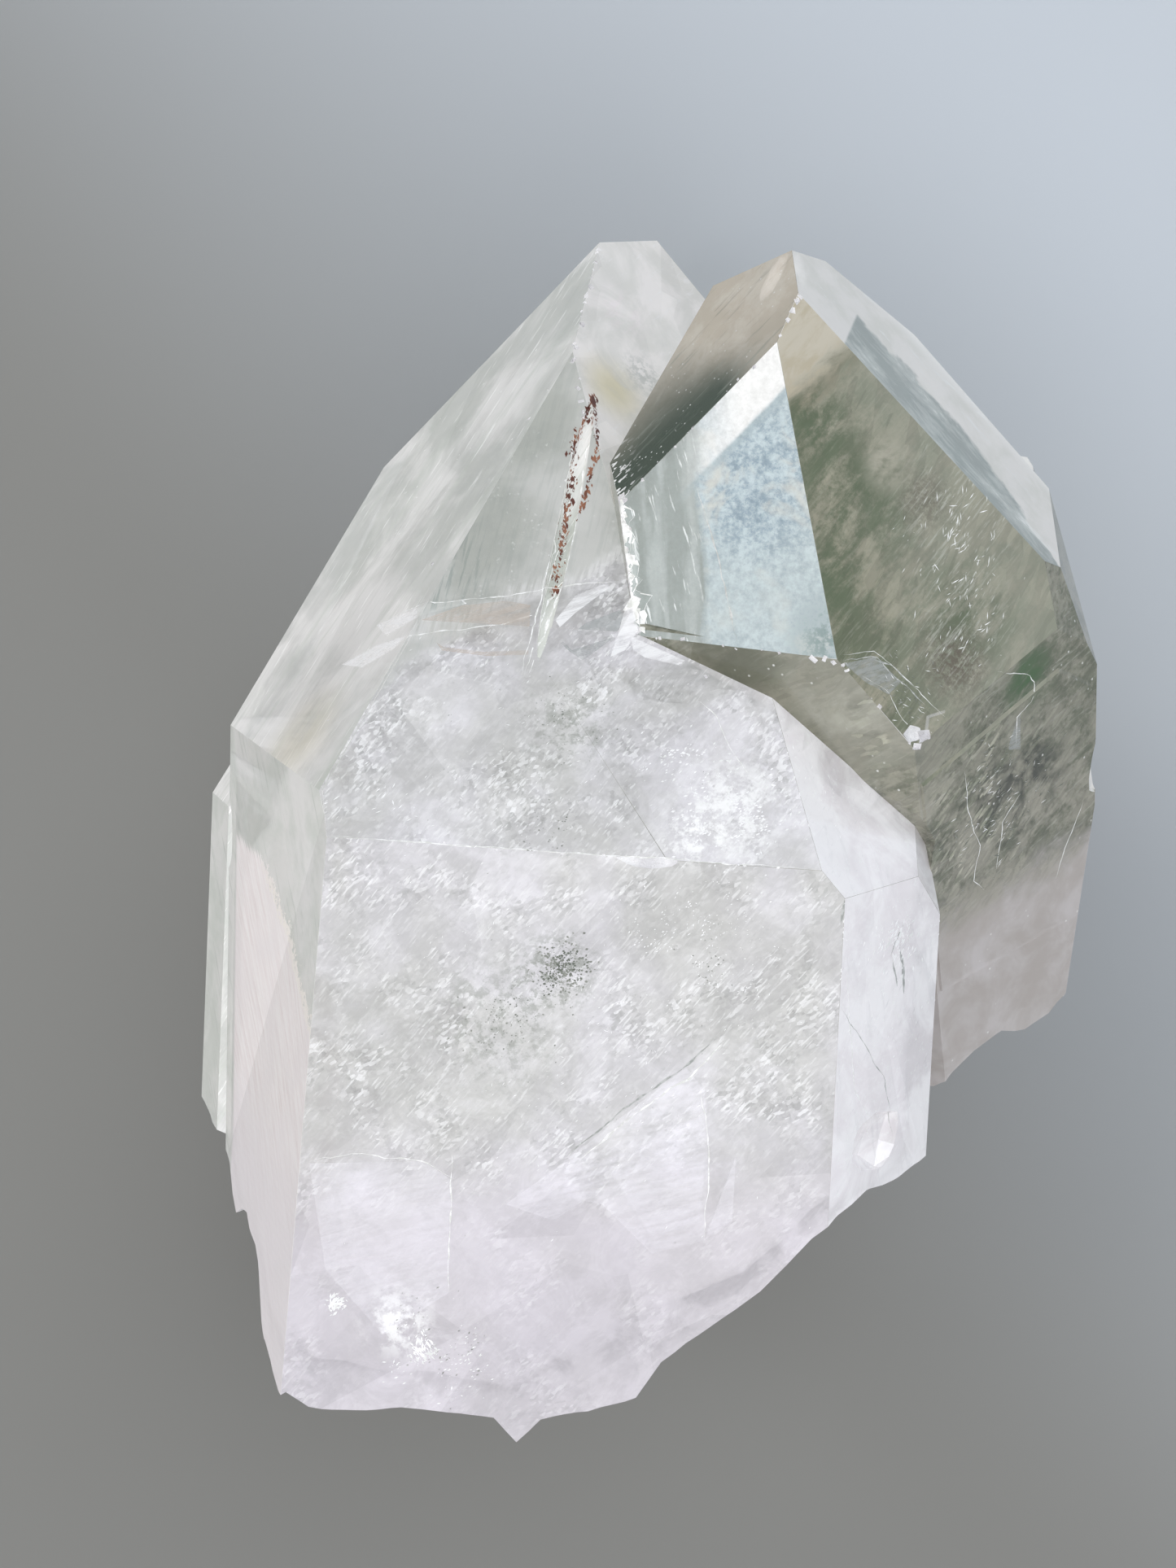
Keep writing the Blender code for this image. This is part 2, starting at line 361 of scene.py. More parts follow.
    def shader(self, alpha=None, **inputs):
        """The Principled shader in the colour painted, let through where alpha is below 1."""
        names = {"roughness": "Roughness", "ior": "IOR", "normal": "Normal",
                 "clear": "Transmission Weight", "shine": "Specular IOR Level"}
        flat = not isinstance(self.colour, bpy.types.NodeSocket)
        values = {"Base Color": (*self.colour, 1) if flat else self.colour}
        values.update({names[key]: value for key, value in inputs.items()})
        solid = self.node("ShaderNodeBsdfPrincipled", values).outputs[0]
        if alpha is not None:
            through = self.node("ShaderNodeBsdfTransparent").outputs[0]
            solid = self.node("ShaderNodeMixShader", {0: alpha, 1: through, 2: solid}).outputs[0]
        self.tree.links.new(solid, self.out.inputs["Surface"])
        return self.mat


# Mesh helpers

def face_direction(turn, lean):
    """A face's outward direction in its crystal's frame."""
    turn, lean = math.radians(turn), math.radians(lean)
    across = math.cos(lean)
    return Vector((math.sin(turn) * across, math.sin(lean), math.cos(turn) * across))


def cut_away(bm, point, direction):
    """Everything beyond the plane goes, and the cut is closed."""
    whole = bm.verts[:] + bm.edges[:] + bm.faces[:]
    cut = bmesh.ops.bisect_plane(bm, geom=whole, dist=CUT_CLOSE, plane_co=point, plane_no=direction,
                                 clear_outer=True)
    rim = [part for part in cut["geom_cut"] if isinstance(part, bmesh.types.BMEdge)]
    if rim:
        bmesh.ops.edgeloop_fill(bm, edges=rim)


def crystal_block(sides, placed, depth, cuts):
    """The space behind every side, each moved in by depth, in world millimetres."""
    bm = bmesh.new()
    bmesh.ops.create_cube(bm, size=ROUGH_BLOCK)
    for turn, lean, distance in sides.values():
        direction = face_direction(turn, lean)
        cut_away(bm, direction * (distance - depth), direction)
    bmesh.ops.transform(bm, matrix=placed, verts=bm.verts)
    for point, direction in cuts:
        cut_away(bm, Vector(point), Vector(direction).normalized())
    return bm


def new_object(bm, name):
    """The bmesh as an object in the scene."""
    thing = bpy.data.objects.new(name, new_mesh(bm, name))
    bpy.context.scene.collection.objects.link(thing)
    return thing


def new_mesh(bm, name):
    mesh = bpy.data.meshes.new(name)
    bm.to_mesh(mesh)
    bm.free()
    return mesh


def modified(thing, *spent):
    """The object's shape after its modifiers, as a bmesh. It and the spent objects are removed."""
    shape = thing.evaluated_get(bpy.context.evaluated_depsgraph_get())
    skin = bmesh.new()
    skin.from_mesh(shape.data)
    for used in (thing, *spent):
        mesh = used.data
        bpy.data.objects.remove(used)
        bpy.data.meshes.remove(mesh)
    return skin


def finish_piece(bm, name, materials, smooth=False):
    """The bmesh, in millimetres, becomes a piece of the object in metres."""
    bmesh.ops.recalc_face_normals(bm, faces=bm.faces)
    bmesh.ops.scale(bm, vec=(MM, MM, MM), verts=bm.verts)
    piece = new_object(bm, name)
    piece.data.polygons.foreach_set("use_smooth", [smooth] * len(piece.data.polygons))
    for material in materials:
        piece.data.materials.append(material)
    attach(piece, "root")
    return piece


def remeshed(bm, spacing):
    """The closed blocks in bm as one even skin, in millimetres."""
    block = new_object(bm, "block")
    mod = block.modifiers.new("even skin", "REMESH")
    mod.mode, mod.voxel_size = "VOXEL", spacing
    return modified(block)


def outer_skin():
    """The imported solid's skin for distances, in millimetres."""
    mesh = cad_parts[CAD_NODE].data
    places = [vert.co / MM for vert in mesh.vertices]
    return BVHTree.FromPolygons(places, [tuple(face.vertices) for face in mesh.polygons])


def below_skin(point):
    """How deep a point lies, in millimetres, below zero outside, and the skin's place and direction."""
    place, normal, _, distance = SKIN.find_nearest(point)
    return distance if (place - point).dot(normal) > 0 else -distance, place, normal


def keep_inside(verts, least):
    """Points less deep than that move in to it."""
    for vert in verts:
        depth, place, normal = below_skin(vert.co)
        if depth < least:
            vert.co = place - normal * least


def lumps(point, size, seed):
    return noise.noise(point / size + Vector((seed, seed * 1.7, -seed)))


SKIN = outer_skin()
# The middle corner of each crystal's front caps
LEFT_CORNER = (-9.1, 51.5, 34.2)
RIGHT_CORNER = (16.3, 55.9, 54.7)
# Across the left crystal's front cap, away from its edge with the left front cap, and across that one
CAP_EDGE = (Vector((-33, 8.8, 59.8)) - Vector(LEFT_CORNER)).normalized()
CAP_EDGE_ACROSS = CAP_EDGE.cross(Vector((0, 0.618, 0.786)))
LEFT_CAP_ACROSS = CAP_EDGE.cross(Vector((-0.681, 0.618, 0.393))) * -1
# Across the feathered line on the left side, towards the front
FEATHER_START = (-41.1, -5.3, 49.6)
FEATHER_EDGE = (Vector((-29.7, -18.6, 72.1)) - Vector(FEATHER_START)).normalized()
FEATHER_ACROSS = Vector((-0.866, 0, 0.5)).cross(FEATHER_EDGE)
# In the right crystal's left and front caps: away from the edge that they share
SHARED_EDGE = (Vector((-0.3, 37.4, 53.2)) - Vector(RIGHT_CORNER)).normalized()
RIGHT_EDGE_ACROSS = Vector((-0.669, 0.559, 0.49)).cross(SHARED_EDGE) * -1
FRONT_CAP_DOWN = Vector((-0.279, 0.165, 0.946)).cross(SHARED_EDGE)
# In its right front cap, below the phantom's line, and in its right cap, away from their shared edge
PHANTOM_DOWN = Vector((0.53, 0.339, 0.778)).cross(Vector((4.8, 4.3, -6.6)).normalized()) * -1
STRIP_ACROSS = Vector((0.72, 0.653, 0.237)).cross(Vector((26.6, -27.7, -6.2)).normalized())


# The outer surface

def tinted(s, look, **inputs):
    """The quartz's shader, with a tint that grows with its thickness."""
    mat = s.shader(ior=QUARTZ_IOR, **inputs)
    absorb = s.node("ShaderNodeVolumeAbsorption", {"Color": (*look.tint, 1), "Density": look.depth_tint})
    s.tree.links.new(absorb.outputs[0], s.out.inputs["Volume"])
    return mat


def quartz_base(s, look, clear):
    """Quartz in the colour painted, with growth lines across the prism, low hillocks and fine pits."""
    lines = s.node("ShaderNodeTexWave", {"Vector": s.place, "Scale": 0.32, "Distortion": 1.6, "Detail": 3,
                                         "Detail Scale": 0.5}, bands_direction="Y").outputs["Fac"]
    hillocks = s.streaks((0, 0, 0), (9, 3, 9), 2)
    pits = s.noise(0.55, 3, 0.6)
    height = s.add(s.add(s.times(lines, 0.1), s.times(hillocks, 0.9)), s.times(pits, 0.12))
    haze = s.span(s.noise(7, 4, 0.6), 0.45, 0.75, look.gloss, look.gloss + 0.09)
    return tinted(s, look, roughness=haze, clear=clear, normal=s.bump(height, 0.1, 0.35))


def clear_quartz(look):
    s = Shade("clear_quartz")
    s.colour = (0.985, 0.99, 0.985)
    return quartz_base(s, look, 1)


def hazy_quartz(look):
    """The left cap of the left crystal: see-through, with thin streaks that rise with its edge."""
    s = Shade("hazy_quartz")
    streaks = s.fibres(CAP_EDGE, (1, 26, 5), 5, 0.68, 0.15)
    wisps = s.fibres((-0.42, -0.82, 0.4), (0.28, 8, 3), 3, 0.65)
    cloud = s.noise(13, 4, 0.55, 0.4)
    plane = s.plates((0, 0, -34), (6, 60, 20))
    s.ground((0.8, 0.815, 0.79), (0.94, 0.93, 0.915), cloud, 0.4, 0.62)
    s.paint((0.6, 0.64, 0.58), streaks, 0.5, 0.64, 0, 0.42)
    s.paint((1, 1, 0.99), wisps, 0.6, 0.7, 0, 0.5)
    s.light(plane, 0.3, 0.7, 0.94, 1.04)
    beside = s.add(s.along(LEFT_CAP_ACROSS, LEFT_CORNER), s.sway(streaks, 8))
    band = s.times(s.span(beside, 5, 11), s.span(beside, 14, 22, 1, 0))
    s.paint((0.62, 0.66, 0.6), s.times(band, 0.55))
    s.light(beside, 0, 5, 1.08, 1)
    s.light(s.near((-36, 8, 54), 30, 0.2), 0, 1, 1, 0.87)
    warm = s.spot((-35, 9, 56), 10, 0.1, cloud, 0.35, 0.55)
    s.paint((0.7, 0.65, 0.52), s.times(warm, 0.6))
    clear = s.span(s.add(s.times(cloud, 0.6), s.times(streaks, 0.4)), 0.42, 0.6, 0.42, 0.22)
    clear = s.add(clear, s.span(wisps, 0.6, 0.7, 0, -0.2))
    return quartz_base(s, look, clear)


def veiled_tip(look):
    """The tip of the left crystal: a pale, slightly pink veil with a yellow and a grey spot."""
    s = Shade("veiled_tip")
    cloud = s.noise(8, 5, 0.6, 0.6)
    wisps = s.streaks((0, 0, -50), (0.8, 5, 3), 4, 0.65, 0.4)
    plane = s.plates((10, 30, -35), (5, 12, 8))
    s.ground((0.87, 0.85, 0.825), (0.95, 0.91, 0.895), cloud, 0.38, 0.62)
    s.paint((0.97, 0.95, 0.95), wisps, 0.58, 0.7, 0, 0.7)
    s.light(plane, 0.25, 0.75, 0.93, 1.03)
    yellow = s.spot((-3.5, 48.5, 33), 6.5, 0.1, cloud, 0.25, 0.55)
    s.paint((0.74, 0.67, 0.46), s.times(yellow, 0.9))
    rosy = s.spot((-4, 57, 22), 6, 0.1, wisps, 0.42, 0.6)
    s.paint((1, 0.91, 0.93), s.times(rosy, 0.7))
    grey = s.spot((-0.5, 50, 27), 5, 0.1, s.noise(0.9, 4, 0.7), 0.42, 0.58)
    s.paint((0.4, 0.43, 0.41), s.times(grey, 0.8))
    return quartz_base(s, look, s.span(cloud, 0.35, 0.65, 0.26, 0.14))


def milky_quartz(name, look, milk, cover=0.7, top=False, seed=0, marks=False):
    """Milk that reaches the face: broad clouds, slanted veils, sugar and clustered white flecks."""
    s = Shade(name)
    s.where = s.vector("ADD", s.place, (seed, seed * 1.3, -seed))
    cloud = s.noise(16, 4, 0.55, 0.3)
    mist = s.noise(5, 4, 0.6, 0.5)
    patch = s.noise(2.2, 5, 0.74, 0.2)
    sugar = s.noise(0.5, 4, 0.8)
    herd = s.noise(9, 4, 0.65, 0.3)
    plane = s.plates((20, 35, -48), (6, 22, 11))
    flat = s.plates((-15, 20, 40), (1, 2.4, 1.8))
    shard = s.plates((0, 30, -50), (0.28, 0.7, 0.45))
    low = s.span(s.along((0.1, -1, 0), (0, -30, 0)), -4, 12)
    busy = s.times(s.span(herd, 0.46, 0.68, 0.14, 1), s.span(low, 0, 1, 1, 0.35))
    grain = s.add(s.times(patch, 0.55), s.times(sugar, 0.45))
    wisp = s.fibres((0.55, 0.8, -0.2), (0.5, 5, 2.5), 4, 0.7, 0.3)
    s.ground((0.62, 0.615, 0.6), tuple(milk.colour), cloud, 0.38, 0.62)
    s.paint((0.86, 0.855, 0.87), wisp, 0.56, 0.68, 0, 0.45)
    s.paint((0.48, 0.48, 0.47), wisp, 0.44, 0.34, 0, 0.25)
    s.paint((0.5, 0.495, 0.485), mist, 0.42, 0.6, 0.3, 0)
    s.paint((0.8, 0.785, 0.805), mist, 0.56, 0.72, 0, 0.35)
    s.paint((0.42, 0.42, 0.405), s.times(s.span(grain, 0.38, 0.52, 0.55, 0), busy))
    s.paint((0.65, 0.61, 0.665), s.times(low, 0.7))
    light = s.add(s.span(plane, 0.2, 0.8, 0.93, 1.05), s.times(s.span(flat, 0.2, 0.8, -0.08, 0.08), busy))
    light = s.add(light, s.times(s.span(shard, 0.2, 0.8, -0.12, 0.12), busy))
    s.light(light)
    s.paint((0.9, 0.9, 0.905), s.times(s.span(grain, 0.54, 0.64, 0, 0.6), busy))
    glint = s.shards((0.6, 0.8, 0.1), (0.16, 1.1, 0.5))
    s.where = s.place
    glint = s.times(s.span(glint, 0.8, 0.82), s.span(herd, 0.4, 0.6, 0.15, 1))
    s.paint((0.96, 0.96, 0.96), s.times(glint, s.span(low, 0, 1, 0.6, 0.15)))
    fleck = s.times(s.span(shard, 0.74, 0.77), busy)
    dim = s.times(s.span(shard, 0.25, 0.22), busy)
    s.paint((0.33, 0.34, 0.32), s.times(dim, 0.3))
    clear = s.add(s.span(mist, 0.38, 0.6, 1.1 - cover, 0.9 - cover), s.span(cloud, 0.3, 0.7, 0.08, -0.08))
    if marks:
        snow = s.spots(((15, 7, 69), 9), ((11, 4, 71), 5, 0.8), ((-19, -52, 73), 6))
        snow = s.times(snow, s.span(s.noise(2, 4, 0.7), 0.42, 0.6))
        dust = s.spots(((-2.5, -10.5, 73), 6.5), ((-9, -17, 73), 11, 0.7), ((-3.5, 14.5, 64), 8, 0.8))
        dust = s.times(dust, s.span(s.noise(1.3, 4, 0.75), 0.46, 0.62))
        s.paint((0.26, 0.28, 0.24), s.times(dust, 0.8))
        s.paint((0.97, 0.97, 0.97), s.times(snow, 0.8))
        clear = s.times(clear, s.math("SUBTRACT", 1, snow, True))
    s.paint((0.97, 0.97, 0.98), s.times(fleck, 0.6))
    if top:
        wobble = s.sway(s.noise(6, 4, 0.6), 6)
        edge = s.add(s.along((-0.3, 0.85, 0), (-14.5, 25.6, 54)), wobble)
        side = s.add(s.along((-0.62, 0.78, 0), (-24, 17.5, 60)), wobble)
        above = s.math("MAXIMUM", s.span(edge, -1.2, 1), s.span(side, -1.2, 1))
        hairs = s.fibres((0.1, 0.75, -0.65), (0.5, 7, 3), 4, 0.65, 0.2)
        calm = s.blend((0.74, 0.76, 0.72), (0.87, 0.87, 0.845), cloud, 0.35, 0.62)
        streaky = s.times(s.add(s.near((-22, 28, 52), 11, 0.1), 0.25), s.span(hairs, 0.48, 0.62, 0, 0.7))
        calm = s.mix(streaky, calm, (0.5, 0.56, 0.53))
        beside = s.along(CAP_EDGE_ACROSS, LEFT_CORNER)
        calm = s.scaled(calm, s.span(beside, 0, 10, 0.77, 1.06))
        clear = s.mix_value(above, clear, s.span(cloud, 0.35, 0.65, 0.4, 0.22))
        s.paint(calm, above)
        rim = s.times(s.beside(edge, 0.2, 1.6), s.span(hairs, 0.4, 0.6))
        s.paint((0.93, 0.92, 0.92), s.times(rim, 0.6))
    return quartz_base(s, look, clear)


def smooth_right(look):
    """The right sides of the left crystal: smoother and whiter, slightly lilac, with soft folds."""
    s = Shade("smooth_right")
    cloud = s.noise(8, 4, 0.6, 0.7)
    folds = s.streaks((0, 20, 12), (1.6, 12, 6), 4, 0.62, 0.5)
    plane = s.plates((15, 30, 20), (4, 14, 9))
    sugar = s.noise(0.8, 4, 0.75)
    s.ground((0.9, 0.86, 0.885), (0.965, 0.945, 0.96), cloud, 0.38, 0.6)
    s.paint((0.62, 0.62, 0.64), folds, 0.56, 0.7, 0, 0.25)
    s.paint((1, 1, 1), sugar, 0.56, 0.66, 0, 0.7)
    scratch = s.fibres((0.35, 0.9, -0.2), (0.22, 3, 1), 4, 0.7, 0.2)
    s.paint((1, 1, 1), scratch, 0.6, 0.68, 0, 0.6)
    s.paint((0.6, 0.6, 0.62), scratch, 0.38, 0.3, 0, 0.35)
    s.light(plane, 0.25, 0.75, 0.96, 1.02)
    return quartz_base(s, look, s.span(cloud, 0.35, 0.65, 0.28, 0.12))


def feathered_left(look):
    """The left side: a glassy strip, and past a feathered line a pale pink area with slanted fibres."""
    s = Shade("feathered_left")
    cloud = s.noise(9, 4, 0.6, 0.5)
    fibre = s.fibres((0.4, -0.9, 0.69), (0.35, 9, 2.5), 4, 0.7, 0.1)
    side = s.add(s.along(FEATHER_ACROSS, FEATHER_START), s.sway(s.noise(1.3, 5, 0.8), 9))
    foot = s.add(s.along((0, -1, 0), (0, -6, 0)), s.sway(fibre, 4))
    ledge = s.along((0.5, 0, 0.866), (-46.3, -20, 40.5))
    pink = s.times(s.span(side, -0.3, 0.4, 1, 0), s.times(s.span(foot, -0.5, 0.8), s.span(ledge, 0, 1.2)))
    glass = s.blend((0.74, 0.77, 0.73), (0.88, 0.88, 0.865), cloud, 0.35, 0.6)
    glass = s.blend(glass, (0.48, 0.54, 0.49), fibre, 0.55, 0.68, 0, 0.5)
    rose = s.blend((0.93, 0.86, 0.86), (1, 0.965, 0.96), fibre, 0.4, 0.62)
    rose = s.blend(rose, (0.8, 0.72, 0.72), fibre, 0.44, 0.34, 0, 0.5)
    rose = s.blend(rose, (0.93, 0.88, 0.89), cloud, 0.45, 0.65, 0, 0.6)
    rose = s.blend(rose, (0.9, 0.86, 0.9), foot, 24, 40, 0, 0.7)
    s.colour = s.mix(pink, glass, rose)
    crest = s.times(s.beside(s.add(side, 0.6), 0, 1.2), s.span(foot, 0, 2.5))
    s.paint((0.99, 0.95, 0.87), s.times(crest, 0.8))
    return quartz_base(s, look, s.mix_value(pink, 0.35, 0.12))


def left_cap_green(look):
    """Beige at the tip, and a dark green band along the edge with the front cap."""
    s = Shade("left_cap_green")
    ride = s.along(RIGHT_EDGE_ACROSS, RIGHT_CORNER)
    down = s.along(SHARED_EDGE, RIGHT_CORNER)
    grain = s.fibres(SHARED_EDGE, (0.35, 7, 3), 4, 0.65, 0.1)
    cloud = s.noise(5, 5, 0.68, 0.3)
    edge = s.span(down, 2, 18, 4.5, 15)
    near = s.math("DIVIDE", s.add(ride, s.sway(cloud, 3)), edge)
    dark = s.times(s.span(near, 0.2, 1.6, 1, 0), s.span(down, 0, 9, 0.15, 1))
    s.ground((0.66, 0.59, 0.49), (0.74, 0.68, 0.59), cloud, 0.4, 0.65)
    s.paint((0.045, 0.065, 0.045), dark)
    s.paint((0.26, 0.29, 0.25), s.times(s.span(grain, 0.55, 0.7), 0.45))
    fleck = s.times(s.span(s.cells(1), 0.02, 0.15, 1, 0), s.span(cloud, 0.42, 0.58))
    chips = s.span(s.shards(SHARED_EDGE, (0.22, 0.7, 0.4)), 0.74, 0.77)
    fleck = s.math("MAXIMUM", fleck, s.times(s.span(down, 20, 25), chips))
    s.paint((0.93, 0.93, 0.93), fleck)
    return quartz_base(s, look, s.span(dark, 0, 1, 0.38, 0.1))


def front_cap_blue(look):
    """Painted light: a white tip lit through. Under it the phantom's line, a mottled blue-grey patch and a
    grey-green left part.
    """
    s = Shade("front_cap_blue")
    wobble = s.add(s.noise(9), -0.5)
    tip = s.add(s.along(FRONT_CAP_DOWN, RIGHT_CORNER), s.times(wobble, 0.8))
    seam = s.add(s.along((1, 0.17, 0.26), (8.6, 37, 56)), s.times(wobble, 3))
    mottle = s.add(s.times(s.noise(0.7, 4, 0.75, 0.2), 0.6), s.times(s.noise(3, 4, 0.7, 0.3), 0.4))
    patches = s.noise(6, 3, 0.6, 0.5)
    blue = s.blend((0.12, 0.22, 0.3), (0.43, 0.53, 0.57), mottle, 0.36, 0.62)
    blue = s.blend(blue, (0.5, 0.52, 0.49), patches, 0.5, 0.68)
    depth = s.near((14.5, 41, 57), 13, 0.2)
    blue = s.blend(blue, (0.45, 0.53, 0.54), depth, 0, 1, 0.65, 0)
    foot = s.spot((24.5, 25, 62.5), 7, 0.2, mottle, 0.4, 0.6)
    blue = s.mix(foot, blue, (0.12, 0.2, 0.2))
    grey = s.blend((0.185, 0.225, 0.21), (0.33, 0.375, 0.365),
                   s.streaks((0, 0, 8), (2, 14, 6), 3), 0.4, 0.65)
    grey = s.blend(grey, (0.72, 0.76, 0.76), s.streaks((0, 0, 20), (0.5, 4, 2), 4), 0.6, 0.7)
    s.ground(grey, blue, seam, -0.25, 0.25)
    line = s.times(s.beside(seam, 0.15, 0.9), 0.45)
    s.paint((0.17, 0.21, 0.2), line)
    right = s.span(seam, -3, 3)
    # Painted light: the tip is painted near-white for the light that shines through it
    white = s.times(s.span(tip, 4.3, 4.7, 1, 0), s.span(seam, -2.5, 6))
    s.paint((0.86, 0.86, 0.85), white)
    edge = s.times(s.beside(s.add(tip, -4.8), 0.15, 0.75), right)
    s.paint((0.27, 0.36, 0.4), s.times(edge, 0.7))
    clear = s.span(mottle, 0.3, 0.7, 0.38, 0.12)
    return quartz_base(s, look, clear)


def right_cap_green(look):
    """Beige tip, then green clouds slanted across the face, brown spots and white flecks."""
    s = Shade("right_cap_green")
    slant = s.fibres((0.55, 0.62, -0.55), (2.2, 7, 4), 5, 0.62, 0.4)
    cloud = s.noise(7, 5, 0.62, 0.3)
    speck = s.noise(0.6, 4, 0.8)
    hairs = s.fibres((0.5, 0.68, -0.54), (0.35, 3.5, 1.5), 4, 0.7, 0.2)
    down = s.add(s.along(PHANTOM_DOWN, (18.4, 51.1, 55.2)), s.sway(slant, 6))
    body = s.span(down, -1, 2.2)
    green = s.add(s.times(slant, 0.5), s.times(cloud, 0.5))
    green = s.add(green, s.sway(speck, 0.22))
    shard = s.plates((0, 30, -36), (0.9, 5, 3))
    s.ground((0.35, 0.335, 0.255), (0.145, 0.165, 0.11), green, 0.4, 0.58)
    s.paint((0.4, 0.4, 0.33), hairs, 0.52, 0.66, 0, 0.3)
    s.paint((0.12, 0.13, 0.09), hairs, 0.46, 0.34, 0, 0.4)
    right = s.along((0.8, 0.2, -0.56), (26, 36, 55))
    s.paint((0.37, 0.375, 0.315), right, -6, 10, 0, 0.55)
    s.light(shard, 0.2, 0.8, 0.92, 1.08)
    line = s.times(s.beside(s.add(down, -1.6), 0, 1.6), 0.5)
    s.paint((0.24, 0.22, 0.155), line)
    deep = s.spots(((25, 40, 55), 12), ((38, 27, 53), 9), ((20, 48, 55), 6), ((22.5, 30, 61), 7))
    s.paint((0.1, 0.135, 0.08), s.times(s.times(deep, 0.75),
                                        s.span(s.add(slant, s.times(speck, 0.3)), 0.48, 0.78)))
    pale = s.spot((28, 42.5, 51.5), 4.5, 0.1, cloud, 0.3, 0.5)
    s.paint((0.52, 0.49, 0.41), s.times(pale, 0.8))
    brown = s.times(s.spots(((37.5, 22.5, 56), 6), ((33, 39, 51), 5, 0.6)), s.span(speck, 0.35, 0.6))
    s.paint((0.145, 0.125, 0.1), brown)
    s.colour = s.mix(body, s.blend((0.56, 0.5, 0.385), (0.64, 0.59, 0.49), slant, 0.4, 0.6), s.colour)
    herd = s.add(s.near((36, 37, 49), 11, 0.2), s.near((38, 26, 54), 9, 0.2))
    spark = s.span(s.cells(1, where=s.drawn_out((0.35, 0.72, -0.5), (0.4, 2.8, 1.2))), 0.05, 0.28, 1, 0)
    spark = s.times(s.times(spark, herd), s.span(s.noise(2.6, 3), 0.46, 0.6, 0, 0.8))
    s.paint((0.8, 0.81, 0.76), spark)
    s.paint((0.62, 0.63, 0.57), s.times(herd, s.span(hairs, 0.52, 0.64, 0, 0.4)))
    clear = s.mix_value(body, 0.2, s.span(green, 0.4, 0.62, 0.22, 0.08))
    return quartz_base(s, look, clear)


def pale_cap(look):
    """The right strip of the tip: pale, with a few rising wisps."""
    s = Shade("pale_cap")
    cloud = s.noise(6, 4, 0.6, 0.3)
    wisps = s.fibres((0.66, -0.68, -0.15), (0.9, 8, 4), 5, 0.68, 0.3)
    s.ground((0.9, 0.875, 0.85), (0.72, 0.71, 0.67), cloud, 0.4, 0.65)
    inner = s.along(STRIP_ACROSS, (18, 60.7, 51.5))
    below = s.along((0.68, -0.71, -0.16), (23, 55.6, 50.2))
    wide = s.span(below, 20, 37, 9.5, 2.5)
    blue = s.times(s.span(s.math("DIVIDE", s.add(inner, s.sway(cloud, 7)), wide), 0.88, 1.02, 1, 0),
                   s.span(below, 0, 0.4))
    shade = s.blend((0.26, 0.31, 0.3), (0.45, 0.495, 0.48), wisps, 0.42, 0.6)
    s.paint(shade, s.times(blue, 0.85))
    s.paint((0.9, 0.91, 0.9), wisps, 0.58, 0.7, 0, 0.8)
    outer = s.span(inner, 15, 19)
    s.paint((1, 0.99, 0.97), s.times(outer, 0.7))
    return quartz_base(s, look, s.span(cloud, 0.35, 0.7, 0.25, 0.12))


def right_side_green(look):
    """The prism sides of the right crystal: green-grey and streaky, fading into milk at the foot."""
    s = Shade("right_side_green")
    slant = s.streaks((0, 0, -50), (3, 8, 6), 5, 0.58, 0.8)
    cloud = s.noise(6.5, 4, 0.6, 0.4)
    speck = s.noise(0.7, 3, 0.7)
    green = s.add(s.add(s.times(slant, 0.5), s.times(cloud, 0.5)), s.sway(speck, 0.3))
    s.ground((0.4, 0.39, 0.32), (0.155, 0.165, 0.12), green, 0.4, 0.6)
    hairs = s.streaks((0, 0, -52), (0.35, 6, 3), 3, 0.6)
    s.paint((0.55, 0.55, 0.49), hairs, 0.56, 0.7, 0, 0.35)
    shard = s.plates((0, 30, -48), (0.4, 2, 1.1))
    broken = s.add(s.near((31, 18, 60), 9, 0.2), s.near((42, 6, 49), 13, 0.3))
    broken = s.times(s.math("MINIMUM", broken, 1), s.span(cloud, 0.42, 0.58))
    # Painted glints and painted shade: in the broken patches each shard is made much lighter or darker,
    # some bright as glints, standing for glassy fracture facets that catch the light
    light = s.mix_value(broken, s.span(shard, 0.2, 0.8, 0.9, 1.12),
                        s.add(s.span(shard, 0.2, 0.5, 0.5, 1.05), s.span(shard, 0.7, 0.74, 0, 1.1)))
    s.light(light)
    beige = s.spot((26, 17, 61), 13, 0.2, slant, 0.35, 0.6, 0.3, 0.8)
    s.paint((0.47, 0.465, 0.4), beige)
    under = s.spot((12, 21, 59.5), 8, 0.3, cloud, 0.3, 0.55, 0.5, 0.9)
    s.paint((0.17, 0.175, 0.135), under)
    smoke = s.spot((46, 7, 46), 10, 0.1, cloud, 0.4, 0.6)
    s.paint((0.055, 0.06, 0.05), smoke)
    rich = s.spot((44, 20, 48), 6, 0.1, slant, 0.35, 0.6)
    s.paint((0.06, 0.13, 0.05), rich)
    down = s.add(s.along((0.05, -1, -0.3), (45, 0, 43)), s.sway(slant, 9))
    milk = s.span(down, 1, 9)
    s.paint((0.475, 0.435, 0.41), milk)
    s.paint((0.59, 0.555, 0.55), s.times(milk, s.span(cloud, 0.36, 0.7)))
    fleck = s.times(s.span(s.cells(1.4), 0.02, 0.15, 1, 0), s.span(cloud, 0.5, 0.6))
    s.paint((0.9, 0.9, 0.88), fleck)
    clear = s.mix_value(milk, s.span(green, 0.35, 0.65, 0.5, 0.2), 0.2)
    return quartz_base(s, look, clear)


